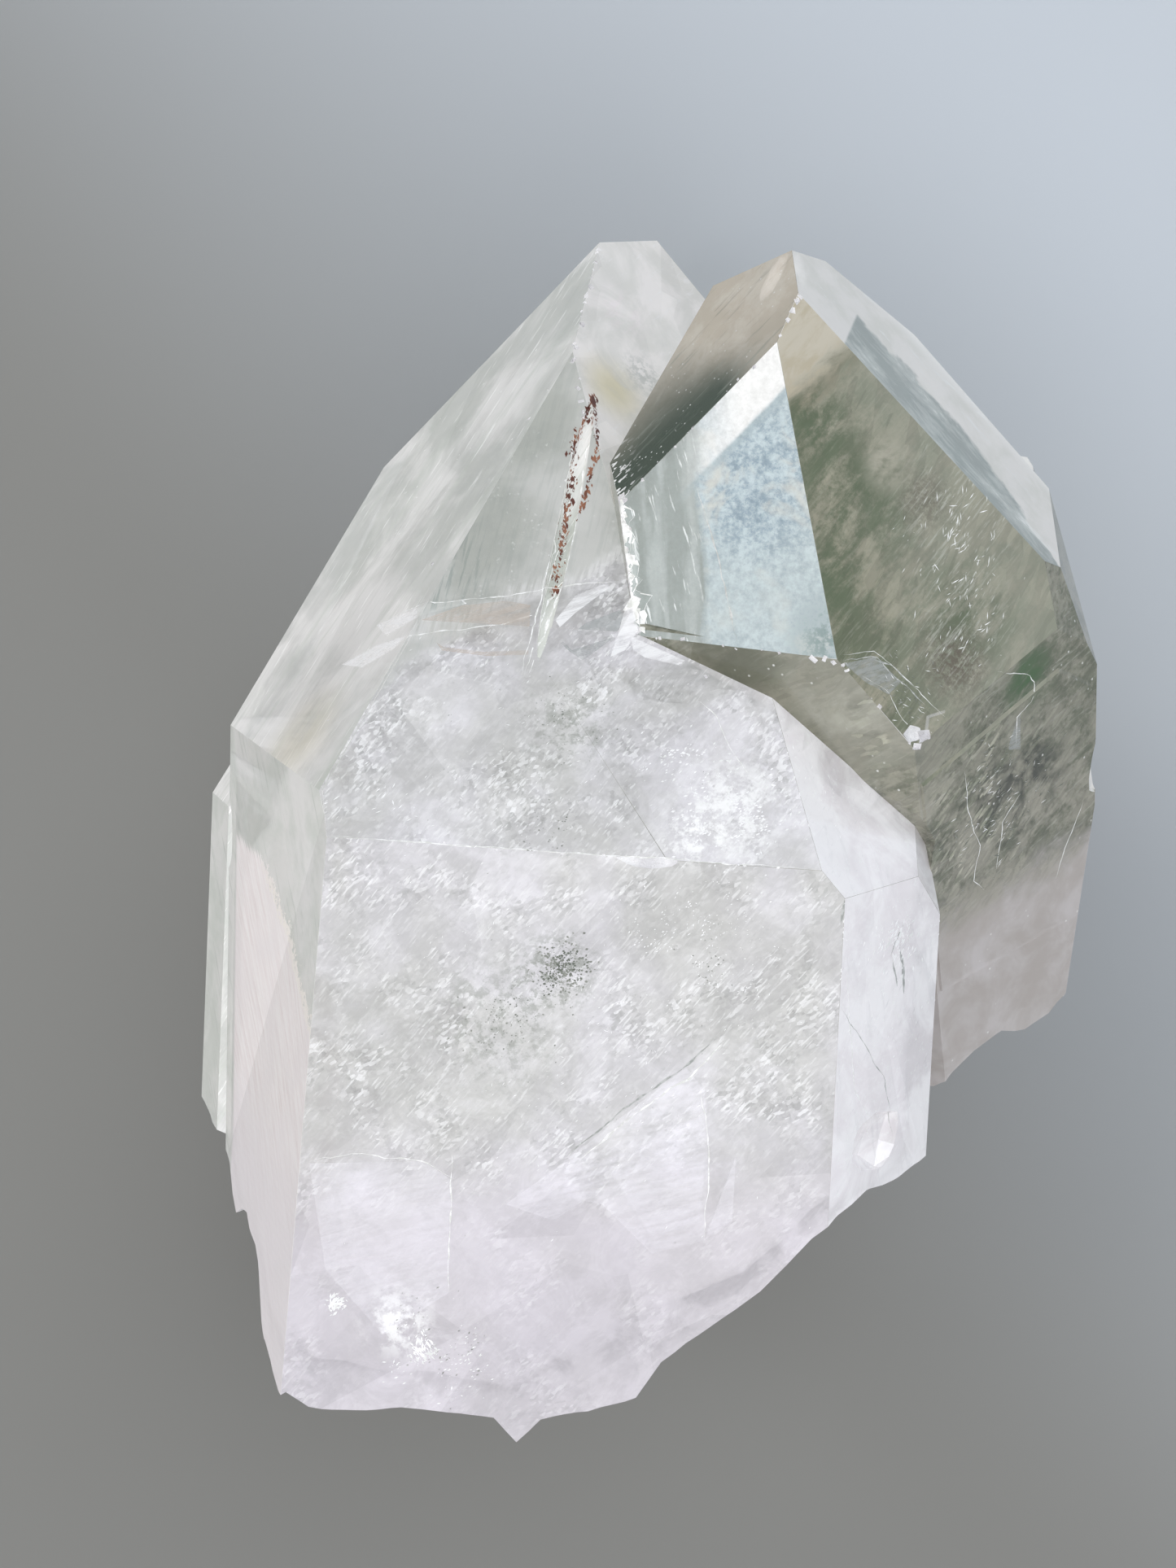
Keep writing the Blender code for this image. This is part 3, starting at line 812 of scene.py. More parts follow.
def broken_quartz(look):
    """Chipped edges and the break: the same quartz, sugary and whitened."""
    s = Shade("broken_quartz")
    grit = s.noise(0.8, 4, 0.65)
    lumpy = s.cells(1.7, "SMOOTH_F1")
    s.ground((0.7, 0.69, 0.715), (0.9, 0.895, 0.91), s.noise(3, 4), 0.35, 0.65)
    return tinted(s, look, roughness=s.span(grit, 0.3, 0.7, 0.18, 0.5), clear=0.2,
                  normal=s.bump(s.add(grit, s.times(lumpy, 0.8)), 0.45, 0.7))


def placed_sides():
    """Every side of both crystals in place: (crystal, name, direction, distance from the origin)."""
    found = []
    for crystal, placed, groups in (("left", LEFT_FRAME, (LEFT_SIDES, LOWER_TOP, UPPER_TOP)),
                                    ("right", RIGHT_FRAME, (RIGHT_SIDES,))):
        turn = placed.to_3x3()
        for sides in groups:
            for name, (about, lean, distance) in sides.items():
                direction = turn @ face_direction(about, lean)
                found.append((crystal, name, direction, distance + direction.dot(placed.translation)))
    return found


CHIP_PLACES = [
    ((-8.9, 62.1, 9), 4.5), ((15.4, 61.1, 43), 4.5), ((-0.2, 31, 55.4), 7.5),
    ((25.2, 22.7, 64.4), 3.2), ((35, 16.4, 61.4), 4), ((-31.4, 4.6, 72.5), 4.2),
    ((6.6, 2.2, 73.6), 5), ((-48, -6.4, 38), 6),
]
WIDE_CHIPS = [((53.4, 8.5, 35), "hazy_quartz"), ((34.6, -28.4, 68), "smooth_right")]
FACE_FINISH = {
    ("left", "front"): "milky_front", ("left", "front cap"): "milky_cap",
    ("left", "right front"): "smooth_right", ("left", "right front cap"): "smooth_right",
    ("left", "shoulder"): "smooth_right", ("left", "corner chip"): "smooth_right",
    ("left", "left front"): "feathered_left", ("left", "left front cap"): "hazy_quartz",
    ("left", "left back"): "milky_back", ("left", "back"): "milky_back",
    ("left", "right back"): "milky_back",
    ("right", "left cap"): "left_cap_green", ("right", "front cap"): "front_cap_blue",
    ("right", "right front cap"): "right_cap_green", ("right", "right cap"): "pale_cap",
}


def side_of(face, sides):
    """The crystal side that a face lies in, or None."""
    best = None
    for crystal, name, direction, distance in sides:
        if face.normal.dot(direction) > SAME_TURN:
            off = abs(face.calc_center_median().dot(direction) - distance)
            if off < OFF_SIDE and (best is None or off < best[0]):
                best = (off, crystal, name)
    return best[1:] if best else None


def finish_of(face, sides, chips):
    """The name of a face's material."""
    centre = face.calc_center_median()
    side = side_of(face, sides)
    if side is None and face.calc_area() < CHIP_FACE:
        for place, radius in chips:
            if (centre - place).length < radius:
                return "broken_quartz"
    if side in FACE_FINISH:
        upper = side == ("left", "right front cap") and centre.y > VEIL_START
        return "veiled_tip" if upper else FACE_FINISH[side]
    if side and side[0] == "right":
        return "right_side_green"
    if side:
        return "veiled_tip" if centre.z > CLEAR_BELOW else "clear_quartz"
    for place, finish in WIDE_CHIPS:
        if side is None and (centre - Vector(place)).length < WIDE_CHIP:
            return finish
    for point, direction in BREAK_CUTS:
        if (centre - Vector(point)).dot(Vector(direction).normalized()) > -BREAK_REACH:
            return "broken_quartz"
    if centre.x > 0:
        pale = min(centre.x, centre.y) > PALE_START
        return "pale_cap" if pale else "right_side_green"
    feathered = centre.y < 0 and face.normal.x < FACES_LEFT and face.normal.z > FACES_UP
    return "feathered_left" if feathered else "hazy_quartz"


# Edges with small bites: ends, number of bites, smallest and largest radius
BITTEN_EDGES = [
    ((-0.6, 37.6, 52.9), (2.2, 24, 56.2), 22, 0.4, 1),
    (RIGHT_CORNER, (18, 60.7, 51.5), 7, 0.2, 0.5),
    (LEFT_CORNER, (-9.1, 63.3, 15.8), 14, 0.2, 0.5),
    (LEFT_CORNER, (-6, 43, 40.5), 9, 0.2, 0.5),
    ((2.4, 23.3, 56.5), (25, 22.9, 63.1), 9, 0.12, 0.3),
    ((22, 22.9, 62.2), (26.5, 22.4, 63), 5, 0.3, 0.6),
    (RIGHT_CORNER, (-0.3, 37.4, 53.2), 14, 0.12, 0.35),
    (LEFT_CORNER, (-33, 8.8, 59.8), 8, 0.15, 0.35),
    ((3.5, 22.7, 57), (22, 14.5, 62.5), 14, 0.15, 0.4),
    ((22, 14.5, 62.5), (40, 1.5, 57), 8, 0.15, 0.4),
    ((-28, 2.3, 73), (24.8, 2.3, 73), 10, 0.12, 0.3),
    ((33.6, 13.4, 61.3), (25, 22.9, 63.1), 4, 0.2, 0.5),
    ((33.6, 13.4, 61.3), (34.5, 15.5, 60), 3, 0.5, 0.9),
]


def bites():
    """The little blocks that chip the edges: (centre, radius) for each, and one mesh of them all."""
    chance = np.random.default_rng(12)
    found = []
    blocks = bmesh.new()
    for start, end, count, small, large in BITTEN_EDGES:
        for share in (np.arange(count) + chance.uniform(0.1, 0.9, count)) / count:
            radius = float(chance.uniform(small, large))
            place = Vector(start).lerp(Vector(end), float(share))
            place += Vector(chance.uniform(-BITE_STRAY, BITE_STRAY, 3).tolist())
            centre = place + Vector(chance.uniform(-BITE_SINK, BITE_SINK, 3).tolist()) * radius
            turn = Euler(chance.uniform(0, 6.28, 3).tolist()).to_matrix().to_4x4()
            stretch = Matrix.Diagonal((*(radius * part for part in BITE_SHAPE), 1))
            bmesh.ops.create_cube(blocks, size=BITE_CUBE,
                                  matrix=Matrix.Translation(centre) @ turn @ stretch)
            found.append((centre, radius * BITE_REACH))
    return found, blocks


def bitten(bm):
    """The skin with every bite taken out of it."""
    found, blocks = bites()
    skin, teeth = new_object(bm, "skin"), new_object(blocks, "bites")
    mod = skin.modifiers.new("bites", "BOOLEAN")
    mod.operation, mod.solver, mod.object, mod.use_self = "DIFFERENCE", "EXACT", teeth, True
    return modified(skin, teeth), found


def roughen_break(bm, number):
    """The break gets finer steps and grit than the solid holds, always inwards."""
    for _ in range(2):
        rough = [face for face in bm.faces if face.material_index == number
                 and face.calc_area() > BREAK_FACE and face.calc_center_median().y < 0]
        edges = {edge for face in rough for edge in face.edges if edge.calc_length() > BREAK_EDGE}
        bmesh.ops.subdivide_edges(bm, edges=list(edges), cuts=1, use_grid_fill=True)
        bmesh.ops.triangulate(bm, faces=[face for face in bm.faces if face.material_index == number])
    bm.normal_update()
    moved = [vert for vert in bm.verts if vert.co.y < BREAK_TOP
             and all(face.material_index == number for face in vert.link_faces)]
    for vert in moved:
        grit = abs(lumps(vert.co, 2.2, 3)) + 0.6 * abs(lumps(vert.co, 0.9, 5))
        step = abs((vert.co.y * 0.6 + vert.co.z * 0.35 + 1.5 * lumps(vert.co, 6, 8)) % 1 - 0.5)
        vert.co -= vert.normal * (GRIT_DEPTH * grit + STEP_DEPTH * step)
    keep_inside(moved, 0)


class QUARTZ_OT_surface(bpy.types.Operator):
    """The outside, with its worn edges and sugary break"""
    bl_idname = "quartz.surface"
    bl_label = "Crystal surface"

    def execute(self, context):
        look, milk = context.scene.quartz_surface, context.scene.quartz_milk
        made = [
            clear_quartz(look), hazy_quartz(look), veiled_tip(look),
            milky_quartz("milky_front", look, milk, 0.78, marks=True),
            milky_quartz("milky_cap", look, milk, 0.74, top=True, seed=40, marks=True),
            smooth_right(look), feathered_left(look),
            milky_quartz("milky_back", look, milk, 0.7, seed=170),
            left_cap_green(look), front_cap_blue(look), right_cap_green(look), pale_cap(look),
            right_side_green(look), broken_quartz(look),
        ]
        order = [material.name.split(".")[0] for material in made]
        bm = bmesh.new()
        bm.from_mesh(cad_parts[CAD_NODE].data)
        bmesh.ops.scale(bm, vec=(1 / MM,) * 3, verts=bm.verts)
        bmesh.ops.remove_doubles(bm, verts=bm.verts, dist=WELD)
        bmesh.ops.dissolve_limit(bm, angle_limit=FLAT_TURN, verts=bm.verts, edges=bm.edges)
        flat = {face for face in bm.faces if face.calc_area() > GROWN_FACE}
        worn = [edge for edge in bm.edges
                if len(edge.link_faces) == 2 and all(face in flat for face in edge.link_faces)
                and edge.is_convex and edge.calc_length() > WORN_EDGE
                and edge.calc_face_angle() > WORN_TURN]
        bmesh.ops.bevel(bm, geom=worn, offset=look.wear, offset_type="OFFSET", segments=2,
                        profile=0.5, affect="EDGES", clamp_overlap=True, material=-1)
        bm, found = bitten(bm)
        bm.normal_update()
        sides = placed_sides()
        chips = [(Vector(place), radius) for place, radius in CHIP_PLACES] + found
        for face in bm.faces:
            face.material_index = order.index(finish_of(face, sides, chips))
        roughen_break(bm, order.index("broken_quartz"))
        piece = finish_piece(bm, "quartz_surface", made)
        piece.visible_shadow = False
        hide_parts(CAD_NODE)
        return {"FINISHED"}


# What shows in the faces: cracks, growth planes, stains and specks

BRIGHT_LINES = [
    # width, then the places that the line runs through
    (4.2, (-0.2, 38, 52.7), (0.4, 33, 54.2), (1.7, 28, 55.4), (3.4, 23.5, 56.8)),
    (3.2, (-0.8, 37.2, 52.9), (0, 33, 54.3), (1, 28.5, 55.4), (2.6, 24.4, 56.7)),
    (0.35, (-6.3, 36, 46.5), (-6.6, 31, 50.3), (-7.9, 25, 54.4), (-9.2, 18.6, 60.2)),
    (0.25, (-7.2, 36, 46), (-7.6, 29, 51.5), (-8.5, 23, 56.3)),
    (0.2, (-6.9, 40, 42.3), (-7.1, 34, 47), (-8.2, 26, 53.6)),
    (0.16, (10.2, 17.2, 61.2), (12.2, 15.9, 62.3), (14.4, 12.6, 64.9), (16.9, 10.1, 66.9)),
    (0.16, (28.2, -9.2, 72.1), (29.6, -22.4, 69.8), (31.3, -29.6, 63.8)),
    (0.6, (-6.2, 41.7, 40.7), (-6.1, 31.1, 50.1), (-7.4, 24.5, 54.3), (-8.8, 18.8, 60)),
    (0.3, (-7.5, 44.2, 39.8), (-7.9, 35.7, 46.2), (-8.4, 29.1, 51.7), (-9, 23.5, 56.3),
     (-9.6, 18.7, 60.1)),
    (0.2, (-28.1, 21.3, 48.9), (-20.2, 25.2, 54.8), (-12.5, 26.3, 53.9), (-5.1, 27.9, 52.6),
     (0.4, 28.5, 52.2)),
    (0.16, (-24.8, 19.9, 56.9), (-19.3, 22.5, 57.1), (-13.1, 23.4, 56.4), (-7.2, 24.8, 54.1)),
    (0.35, (0.2, -32, 73), (5.2, -26.9, 73), (12.2, -21.2, 73), (15.8, -16.9, 73)),
    (0.22, (-13.4, -31.6, 73), (-13.4, -39.7, 73), (-13.4, -48.1, 73)),
    (0.2, (-29.2, -34.3, 73), (-24.2, -32.9, 73), (-16.6, -33.2, 73), (-12.9, -35, 73)),
    (0.25, (13.4, -22.6, 73), (14.6, -29.2, 73), (14.5, -39.5, 73)),
    (0.1, (25.1, 23.5, 62.7), (28.7, 23.7, 60.2), (31.9, 20.9, 59.2), (34.5, 18.3, 58.5),
     (36.4, 16.5, 58)),
    (0.1, (27.6, 21.3, 62), (30.2, 19.5, 60.9), (32.1, 16.5, 61), (33.9, 14.8, 60.4)),
    (0.16, (41.6, 20.9, 52.6), (45, 20.1, 48.8), (45.7, 19, 47.5), (45.5, 17, 47.7),
     (44, 15.3, 49), (44, 11.8, 48)),
    (0.16, (38.8, 10.1, 54.1), (39.3, 5.2, 52.1), (40.8, 0.6, 49), (40.4, -3.6, 48.4),
     (41.7, -5.3, 46.1)),
    (0.15, (44.8, 6, 45.4), (43.1, 2.8, 46.7), (42.8, -2.8, 45.6)),
    (0.18, (51.8, 3.5, 36), (50.3, -1.7, 36.5), (49.3, -5.6, 36.6)),
    (0.22, (-28, 2.4, 73), (-2, 2.4, 73), (24.8, 2.4, 73)),
]
DARK_LINES = [
    (0.15, (27.6, -12.2, 73), (29.7, -16.2, 69.6), (32.4, -22.3, 64.9), (33.6, -29.5, 62.3)),
    (0.55, (27.7, -0.6, 73), (27.6, -1.6, 73), (27.4, -3.4, 73)),
    (0.75, (33.2, -7.6, 63.5), (33.6, -10, 62.7), (33.9, -13.4, 62.2)),
    (0.4, (32.6, -8.5, 64.6), (32.9, -10.5, 64), (33.2, -12.3, 63.5)),
    (0.5, (33.6, -5.2, 62.9), (33, -6.6, 63.8), (32.4, -8.6, 65)),
    (0.35, (-0.9, -31.4, 73), (4.6, -26, 73), (11.7, -20.2, 73), (15.5, -15.7, 73)),
    (0.3, (8.1, 39.6, 55.2), (10, 35.3, 56.5), (12, 29.5, 58.1), (13.8, 23.6, 59.7)),
    (0.25, (28.7, 22.7, 60.6), (30.9, 21.9, 59.4), (33.2, 19.7, 58.9)),
    (0.22, (25.3, 22.9, 62.8), (28.7, 23.1, 60.5), (31.6, 20.4, 59.6), (34.2, 17.8, 58.9)),
]
PALE_PLANES = [
    [(-0.9, -31.7, 73), (11.7, -20.3, 73), (13.8, -22.6, 73), (14.6, -29.2, 73),
     (14.5, -39.5, 73), (8.8, -41.5, 73), (3.2, -36.4, 73), (-1.2, -35.8, 73)],
    [(-29.2, -34.5, 73), (-16.6, -33.2, 73), (-13.3, -35, 73), (-13.4, -48.1, 73),
     (-20.6, -53.6, 73), (-27.2, -46.6, 73)],
    [(-7.4, -37.3, 73), (-0.5, -31.6, 73), (4.8, -30.7, 73), (3.2, -34.5, 73), (-2, -38.7, 73)],
    [(4, -32.6, 73), (13.3, -23.6, 73), (14.3, -29.9, 73), (13.9, -37.3, 73), (8.7, -39.6, 73)],
    [(14.5, -39.5, 73), (17.4, -37, 73), (17.5, -29.6, 73)],
    [(34.5, 16.8, 59.2), (36.4, 17.3, 57.7), (36.2, 15.6, 58.5), (34.4, 14.7, 60.2)],
]
WHITE_WINGS = [
    [(-6.7, 24.2, 55.6), (-4.9, 26.7, 53.6), (-2, 28, 52.6), (-1.1, 27.8, 52.7), (-4.6, 25, 54.9),
     (-6.1, 23.5, 56.1)],
    [(0.8, 25.8, 54.3), (1.9, 26.1, 55.7), (2.6, 23.7, 56.4), (1.4, 21.7, 57.7), (-0.1, 20.9, 58.3),
     (0.4, 23.1, 56.6)],
    [(1.8, 23.1, 56.6), (4.1, 22.3, 57.2), (8.1, 21, 58.2), (7.4, 20.6, 58.6), (3.7, 21.1, 58.2),
     (2.3, 21.8, 57.7)],
    [(-28.1, 21.3, 48.9), (-22.6, 24.3, 53.7), (-17.4, 25.7, 54.4), (-16.8, 25.3, 54.7),
     (-22.2, 23.6, 55.6), (-26.1, 20.9, 53)],
    [(-31.9, 16.7, 49.7), (-27.2, 19.7, 53), (-22.9, 21.8, 57.1), (-24.7, 20, 56.9), (-28.5, 17.4, 54.4)],
]
WARM_PLANES = [
    [(-21.5, 23.5, 56.3), (-17.3, 25.1, 54.9), (-12.4, 25.8, 54.3), (-9.7, 25.5, 54.5), (-9.1, 20.7, 58.5),
     (-13.7, 20.3, 58.8), (-18.7, 20.6, 58.6)],
]
GREY_PLANES = [
    [(-5.7, 22, 57.5), (-3.3, 24.1, 55.6), (0.3, 25.6, 54.5), (1, 24.6, 55.3), (-0.3, 22.6, 57),
     (-3, 20.5, 58.7), (-4.5, 21.2, 58.2)],
    [(42.8, 15.8, 50.6), (44.3, 15.5, 48.7), (44.6, 11.4, 47.3), (43.3, 11.6, 48.9)],
    [(25.6, 22.6, 62.8), (28.7, 23.1, 60.5), (31.6, 20.4, 59.6), (30.4, 19.2, 60.9), (28, 20.6, 62.1)],
]
STAIN_LINES = [
    (420, 0.55, (-6.2, 46.9, 36.4), (-7.3, 42.3, 41.3), (-7.3, 37.6, 43.9), (-7.3, 33.5, 46.9),
     (-7.5, 26.4, 52.6)),
    (150, 0.4, (-6.1, 46.4, 37), (-4.7, 41.9, 41.7), (-5.3, 36.7, 45.7), (-5.7, 33.7, 48.1)),
]
# White specks are partly real white flecks and partly painted glints, small flashes of light
WHITE, DARK, STAIN = "white_specks_and_glints", "dark_specks", "iron_stain"
# Specks: piece, count, centre, spread, length, slimness, direction that they lie along
SPECKS = [
    (WHITE, 620, (15, 7, 69), 5.5, 0.26, 0.5, (0.7, 0.7, 0)),
    (WHITE, 200, (7.5, 12.5, 65), 2.6, 0.24, 0.5, (0.7, 0.7, 0)),
    (WHITE, 420, (12, -6, 73), 8, 0.17, 0.45, (0.7, 0.7, 0)),
    # Painted glints: the three white clusters at the foot below
    (WHITE, 190, (-14, -55.5, 73), 5, 0.28, 0.35, (0.8, 0.6, 0)),
    (WHITE, 150, (-16, -55, 73), 1.5, 0.42, 0.3, (0.6, -0.8, 0)),
    (WHITE, 80, (-26, -50.5, 73), 0.9, 0.45, 0.35, (0.6, 0.8, 0)),
    (DARK, 120, (-15, -54, 73), 5, 0.22, 0.3, (0.8, 0.6, 0)),
    # Painted glints: the next two rows, thin white slivers across the left crystal's body, lying up to the
    # right
    (WHITE, 480, (-4, 12, 66), 18, 0.26, 0.16, (0.6, 0.8, 0)),
    (WHITE, 620, (0, -14, 73), 24, 0.26, 0.16, (0.6, 0.8, 0)),
    (DARK, 260, (0, -12, 73), 24, 0.16, 0.2, (0.6, 0.8, 0)),
    (DARK, 160, (-4, 14, 65), 15, 0.16, 0.2, (0.6, 0.8, 0)),
    (WHITE, 150, (30, -8, 68), 12, 0.34, 0.18, (0.6, 0.8, 0)),
    (WHITE, 90, (22, 12, 65), 9, 0.34, 0.18, (0.5, 0.85, 0)),
    (WHITE, 30, (-22, 6, 70), 5, 0.45, 0.2, (0.5, 0.8, 0)),
    (WHITE, 200, (36, 34.5, 50), 5.5, 0.6, 0.1, (0.35, 0.72, -0.5)),
    (WHITE, 90, (38.5, 26.5, 53), 4, 0.5, 0.11, (0.35, 0.72, -0.5)),
    (WHITE, 60, (-26, 36, 28), 14, 0.22, 0.25, (0.5, 0.85, 0)),
    (WHITE, 90, (3, 39, 51), 6, 0.16, 0.5, (0.6, 0.8, 0)),
    (WHITE, 150, (42, 6, 49), 6.5, 0.5, 0.1, (0.75, 0.55, -0.6)),
    (DARK, 340, (42.5, 6, 48.5), 7.5, 0.65, 0.12, (0.75, 0.55, -0.6)),
    (DARK, 160, (31, 17.5, 60), 5, 0.45, 0.15, (0.75, -0.55, -0.4)),
    (WHITE, 90, (31, 17.5, 60), 5, 0.4, 0.12, (0.75, -0.55, -0.4)),
    (WHITE, 60, (35, -12, 61), 9, 0.2, 0.4, (0, 1, 0)),
    (DARK, 520, (-2, -10.4, 73), 2.6, 0.2, 0.7, (1, 0.4, 0)),
    (DARK, 260, (-8.5, -16.5, 73), 5, 0.14, 0.7, (1, 0.4, 0)),
    (DARK, 150, (-3.8, 15, 63.5), 4, 0.14, 0.6, (1, 0.2, 0)),
    (DARK, 70, (-4, 4, 71.5), 2.6, 0.14, 0.7, (1, 0.2, 0)),
    (DARK, 70, (13.5, -8.5, 73), 3, 0.12, 0.7, (1, 0.2, 0)),
    (WHITE, 130, (33.1, -7.5, 63.8), 3.2, 0.45, 0.4, (0.25, 0.9, -0.4)),
]


def on_skin(place):
    """The nearest place of the faces, a hair above them, and the direction outwards."""
    skin, normal, _, _ = SKIN.find_nearest(place)
    return skin + normal * FLUSH, normal


def path_length(places):
    return sum((end - start).length for start, end in zip(places, places[1:]))


def along_path(places, reach):
    """The place that far along a line of places."""
    for start, end in zip(places, places[1:]):
        length = (end - start).length
        if reach <= length:
            return start.lerp(end, reach / length)
        reach -= length
    return places[-1].copy()


def ribbon(bm, width, places, seed):
    """A thin ragged strip in the faces, pointed at both ends."""
    places = [Vector(place) for place in places]
    total = path_length(places)
    steps = max(4, int(total / RIBBON_STEP))
    for vert in bmesh.ops.create_grid(bm, x_segments=steps, y_segments=1, size=1)["verts"]:
        reach, half = (vert.co.x + 1) / 2 * total, vert.co.y / 2
        place = along_path(places, reach)
        ahead = (along_path(places, min(reach + RIBBON_AHEAD, total))
                 - along_path(places, max(reach - RIBBON_AHEAD, 0)))
        place, normal = on_skin(place)
        side = normal.cross(ahead).normalized()
        middle = Vector((reach, 0, 0))
        sway = 0.22 * lumps(middle, 2.5, seed) + 0.1 * lumps(middle, 0.7, seed)
        wide = width * max(0.08, 0.45 + 1.3 * lumps(Vector((reach, half, 0)), 1.4, seed + 7))
        wide *= min(1, 6 * reach / total, 6 * (total - reach) / total)
        vert.co = on_skin(place + side * (sway + half * wide))[0]


def plate(bm, places):
    """A flat area in the faces."""
    face = bm.faces.new([bm.verts.new(on_skin(Vector(place))[0]) for place in places])
    if face.normal.length == 0:
        face.normal_update()
    bmesh.ops.triangulate(bm, faces=[face])


def small_shape(name, **shape):
    """The mesh of one speck or flake, for setting many times."""
    one = bmesh.new()
    bmesh.ops.create_cone(one, cap_ends=True, **shape)
    return new_mesh(one, name)


def set_shape(bm, mesh, move):
    """One more speck or flake, moved into place."""
    mesh.transform(move)
    bm.from_mesh(mesh)
    mesh.transform(move.inverted())


def set_speck(bm, mesh, place, normal, along, length, slim):
    """One flat speck in the face."""
    side = normal.cross(along).normalized()
    turn = Matrix((side.cross(normal), side, normal)).transposed().to_4x4()
    size = Matrix.Diagonal((length, length * slim, SPECK_HALF, 1))
    set_shape(bm, mesh, Matrix.Translation(place - normal * SPECK_SINK) @ turn @ size)


def scatter(chance, spread):
    """A random step about a place."""
    return Vector(chance.normal(size=3).tolist()) * spread


class QUARTZ_OT_marks(bpy.types.Operator):
    """Cracks, growth planes, iron stain and specks that show in the faces"""
    bl_idname = "quartz.marks"
    bl_label = "Marks in the faces"

    def execute(self, context):
        share = context.scene.quartz_chlorite.specks
        for name, lines, one, other, roughness in (
                ("bright_cracks", BRIGHT_LINES, (0.7, 0.71, 0.68), (0.93, 0.93, 0.93), 0.2),
                ("dark_cracks", DARK_LINES, (0.34, 0.355, 0.34), (0.52, 0.53, 0.52), 0.25)):
            bm = bmesh.new()
            for number, (width, *places) in enumerate(lines):
                ribbon(bm, width, places, 3 * number + 1)
            bmesh.ops.solidify(bm, geom=bm.faces[:], thickness=THICK)
            self.finish(bm, name, mottled(name, one, other, roughness, 0.7, 3, ior=QUARTZ_IOR))
        for name, planes, colour, cover in (("pale_planes", PALE_PLANES, (0.93, 0.92, 0.97), 0.17),
                                            ("white_wings", WHITE_WINGS, (0.9, 0.9, 0.91), 0.62),
                                            ("warm_planes", WARM_PLANES, (0.56, 0.49, 0.43), 0.42),
                                            ("grey_planes", GREY_PLANES, (0.4, 0.42, 0.42), 0.5)):
            bm = bmesh.new()
            for places in planes:
                plate(bm, places)
            finish_piece(bm, name, [plane_mark(name, colour, cover)]).visible_shadow = False
        chance = np.random.default_rng(21)
        mesh = small_shape("speck", segments=4, radius1=0.5, radius2=1, depth=2)
        pieces = {WHITE: bmesh.new(), DARK: bmesh.new(), STAIN: bmesh.new()}
        for name, count, centre, spread, length, slim, along in SPECKS:
            middle, facing = on_skin(Vector(centre))
            for _ in range(int(count * share)):
                place, normal = on_skin(middle + scatter(chance, spread) * SPECK_SPREAD)
                if normal.dot(facing) < SPECK_TURN or lumps(place, 3, 5) < SPECK_GAPS:
                    continue
                turn = float(chance.normal() * SPECK_WANDER)
                lie = Matrix.Rotation(turn, 3, normal) @ Vector(along)
                size = length * float(chance.uniform(0.25, 1)) ** 1.5
                set_speck(pieces[name], mesh, place, normal, lie, size, slim)
        for count, spread, *places in STAIN_LINES:
            places = [Vector(place) for place in places]
            total = path_length(places)
            for _ in range(int(count * share)):
                place = along_path(places, total * float(chance.uniform()) ** 1.3)
                place, normal = on_skin(place + scatter(chance, spread) * 0.5)
                turn = float(chance.normal() * 0.5)
                lie = Matrix.Rotation(turn, 3, normal) @ Vector(STAIN_ALONG)
                size = 0.1 + 0.45 * float(chance.uniform()) ** 3
                set_speck(pieces[STAIN], mesh, place, normal, lie, size, 0.4)
        bpy.data.meshes.remove(mesh)
        for name, one, other in ((WHITE, (0.93, 0.93, 0.94), (0.8, 0.81, 0.8)),
                                 (DARK, (0.13, 0.145, 0.12), (0.27, 0.28, 0.25)),
                                 (STAIN, (0.1, 0.028, 0.018), (0.3, 0.13, 0.075))):
            self.finish(pieces[name], name, mottled(name, one, other, 0.35, ior=QUARTZ_IOR))
        return {"FINISHED"}

    def finish(self, bm, name, material):
        keep_inside(bm.verts, -THICK)
        finish_piece(bm, name, [material]).visible_shadow = False


def mottled(name, one, other, roughness, size=2, detail=2, **inputs):
    """Two shades in a fine mottle."""
    s = Shade(name)
    s.ground(one, other, s.noise(size, detail), 0.4, 0.6)
    return s.shader(roughness=roughness, **inputs)


def plane_mark(name, colour, share):
    """A growth plane that shows through, fading in and out."""
    s = Shade(name)
    s.colour = colour
    fade = s.streaks((0, 0, -70), (0.7, 5, 2.5), 4, 0.65, 0.3)
    alpha = s.span(fade, 0.36, 0.6, share * 0.55, share * 1.35)
    return s.shader(alpha=alpha, roughness=0.12, ior=QUARTZ_IOR)


# What the quartz holds

# Millimetres: how far the milk draws in and swells, and its lumps' size
MILK_INSET = 1
MILK_SWELL = 2
MILK_LUMP = 9
MILK_CUTS = [
    ((-37, 8, 60), (-0.55, 0.7, -0.45)),
    ((-14.5, 25.5, 54), (-0.27, 0.84, -0.47)),
]
# Flakes: name, share of the setting's number, half-size, centre, spread, seed
FLAKE_CLOUDS = [
    ("chlorite_flakes", 1, 0.17, (26, 36, 46), (15, 17, 9), 3),
    ("white_flakes", 0.5, 0.16, (-8, 22, 42), (22, 30, 16), 4),
]


def core_material():
    s = Shade("milk_core")
    cloud = s.noise(10, 4, 0.6, 0.4)
    sugar = s.noise(1.6, 4, 0.7)
    s.ground((0.66, 0.66, 0.65), (0.8, 0.79, 0.82), cloud, 0.35, 0.65)
    s.paint((0.92, 0.92, 0.92), sugar, 0.5, 0.75)
    return s.shader(roughness=0.7, shine=0.2, normal=s.bump(sugar, 0.6, 0.6))


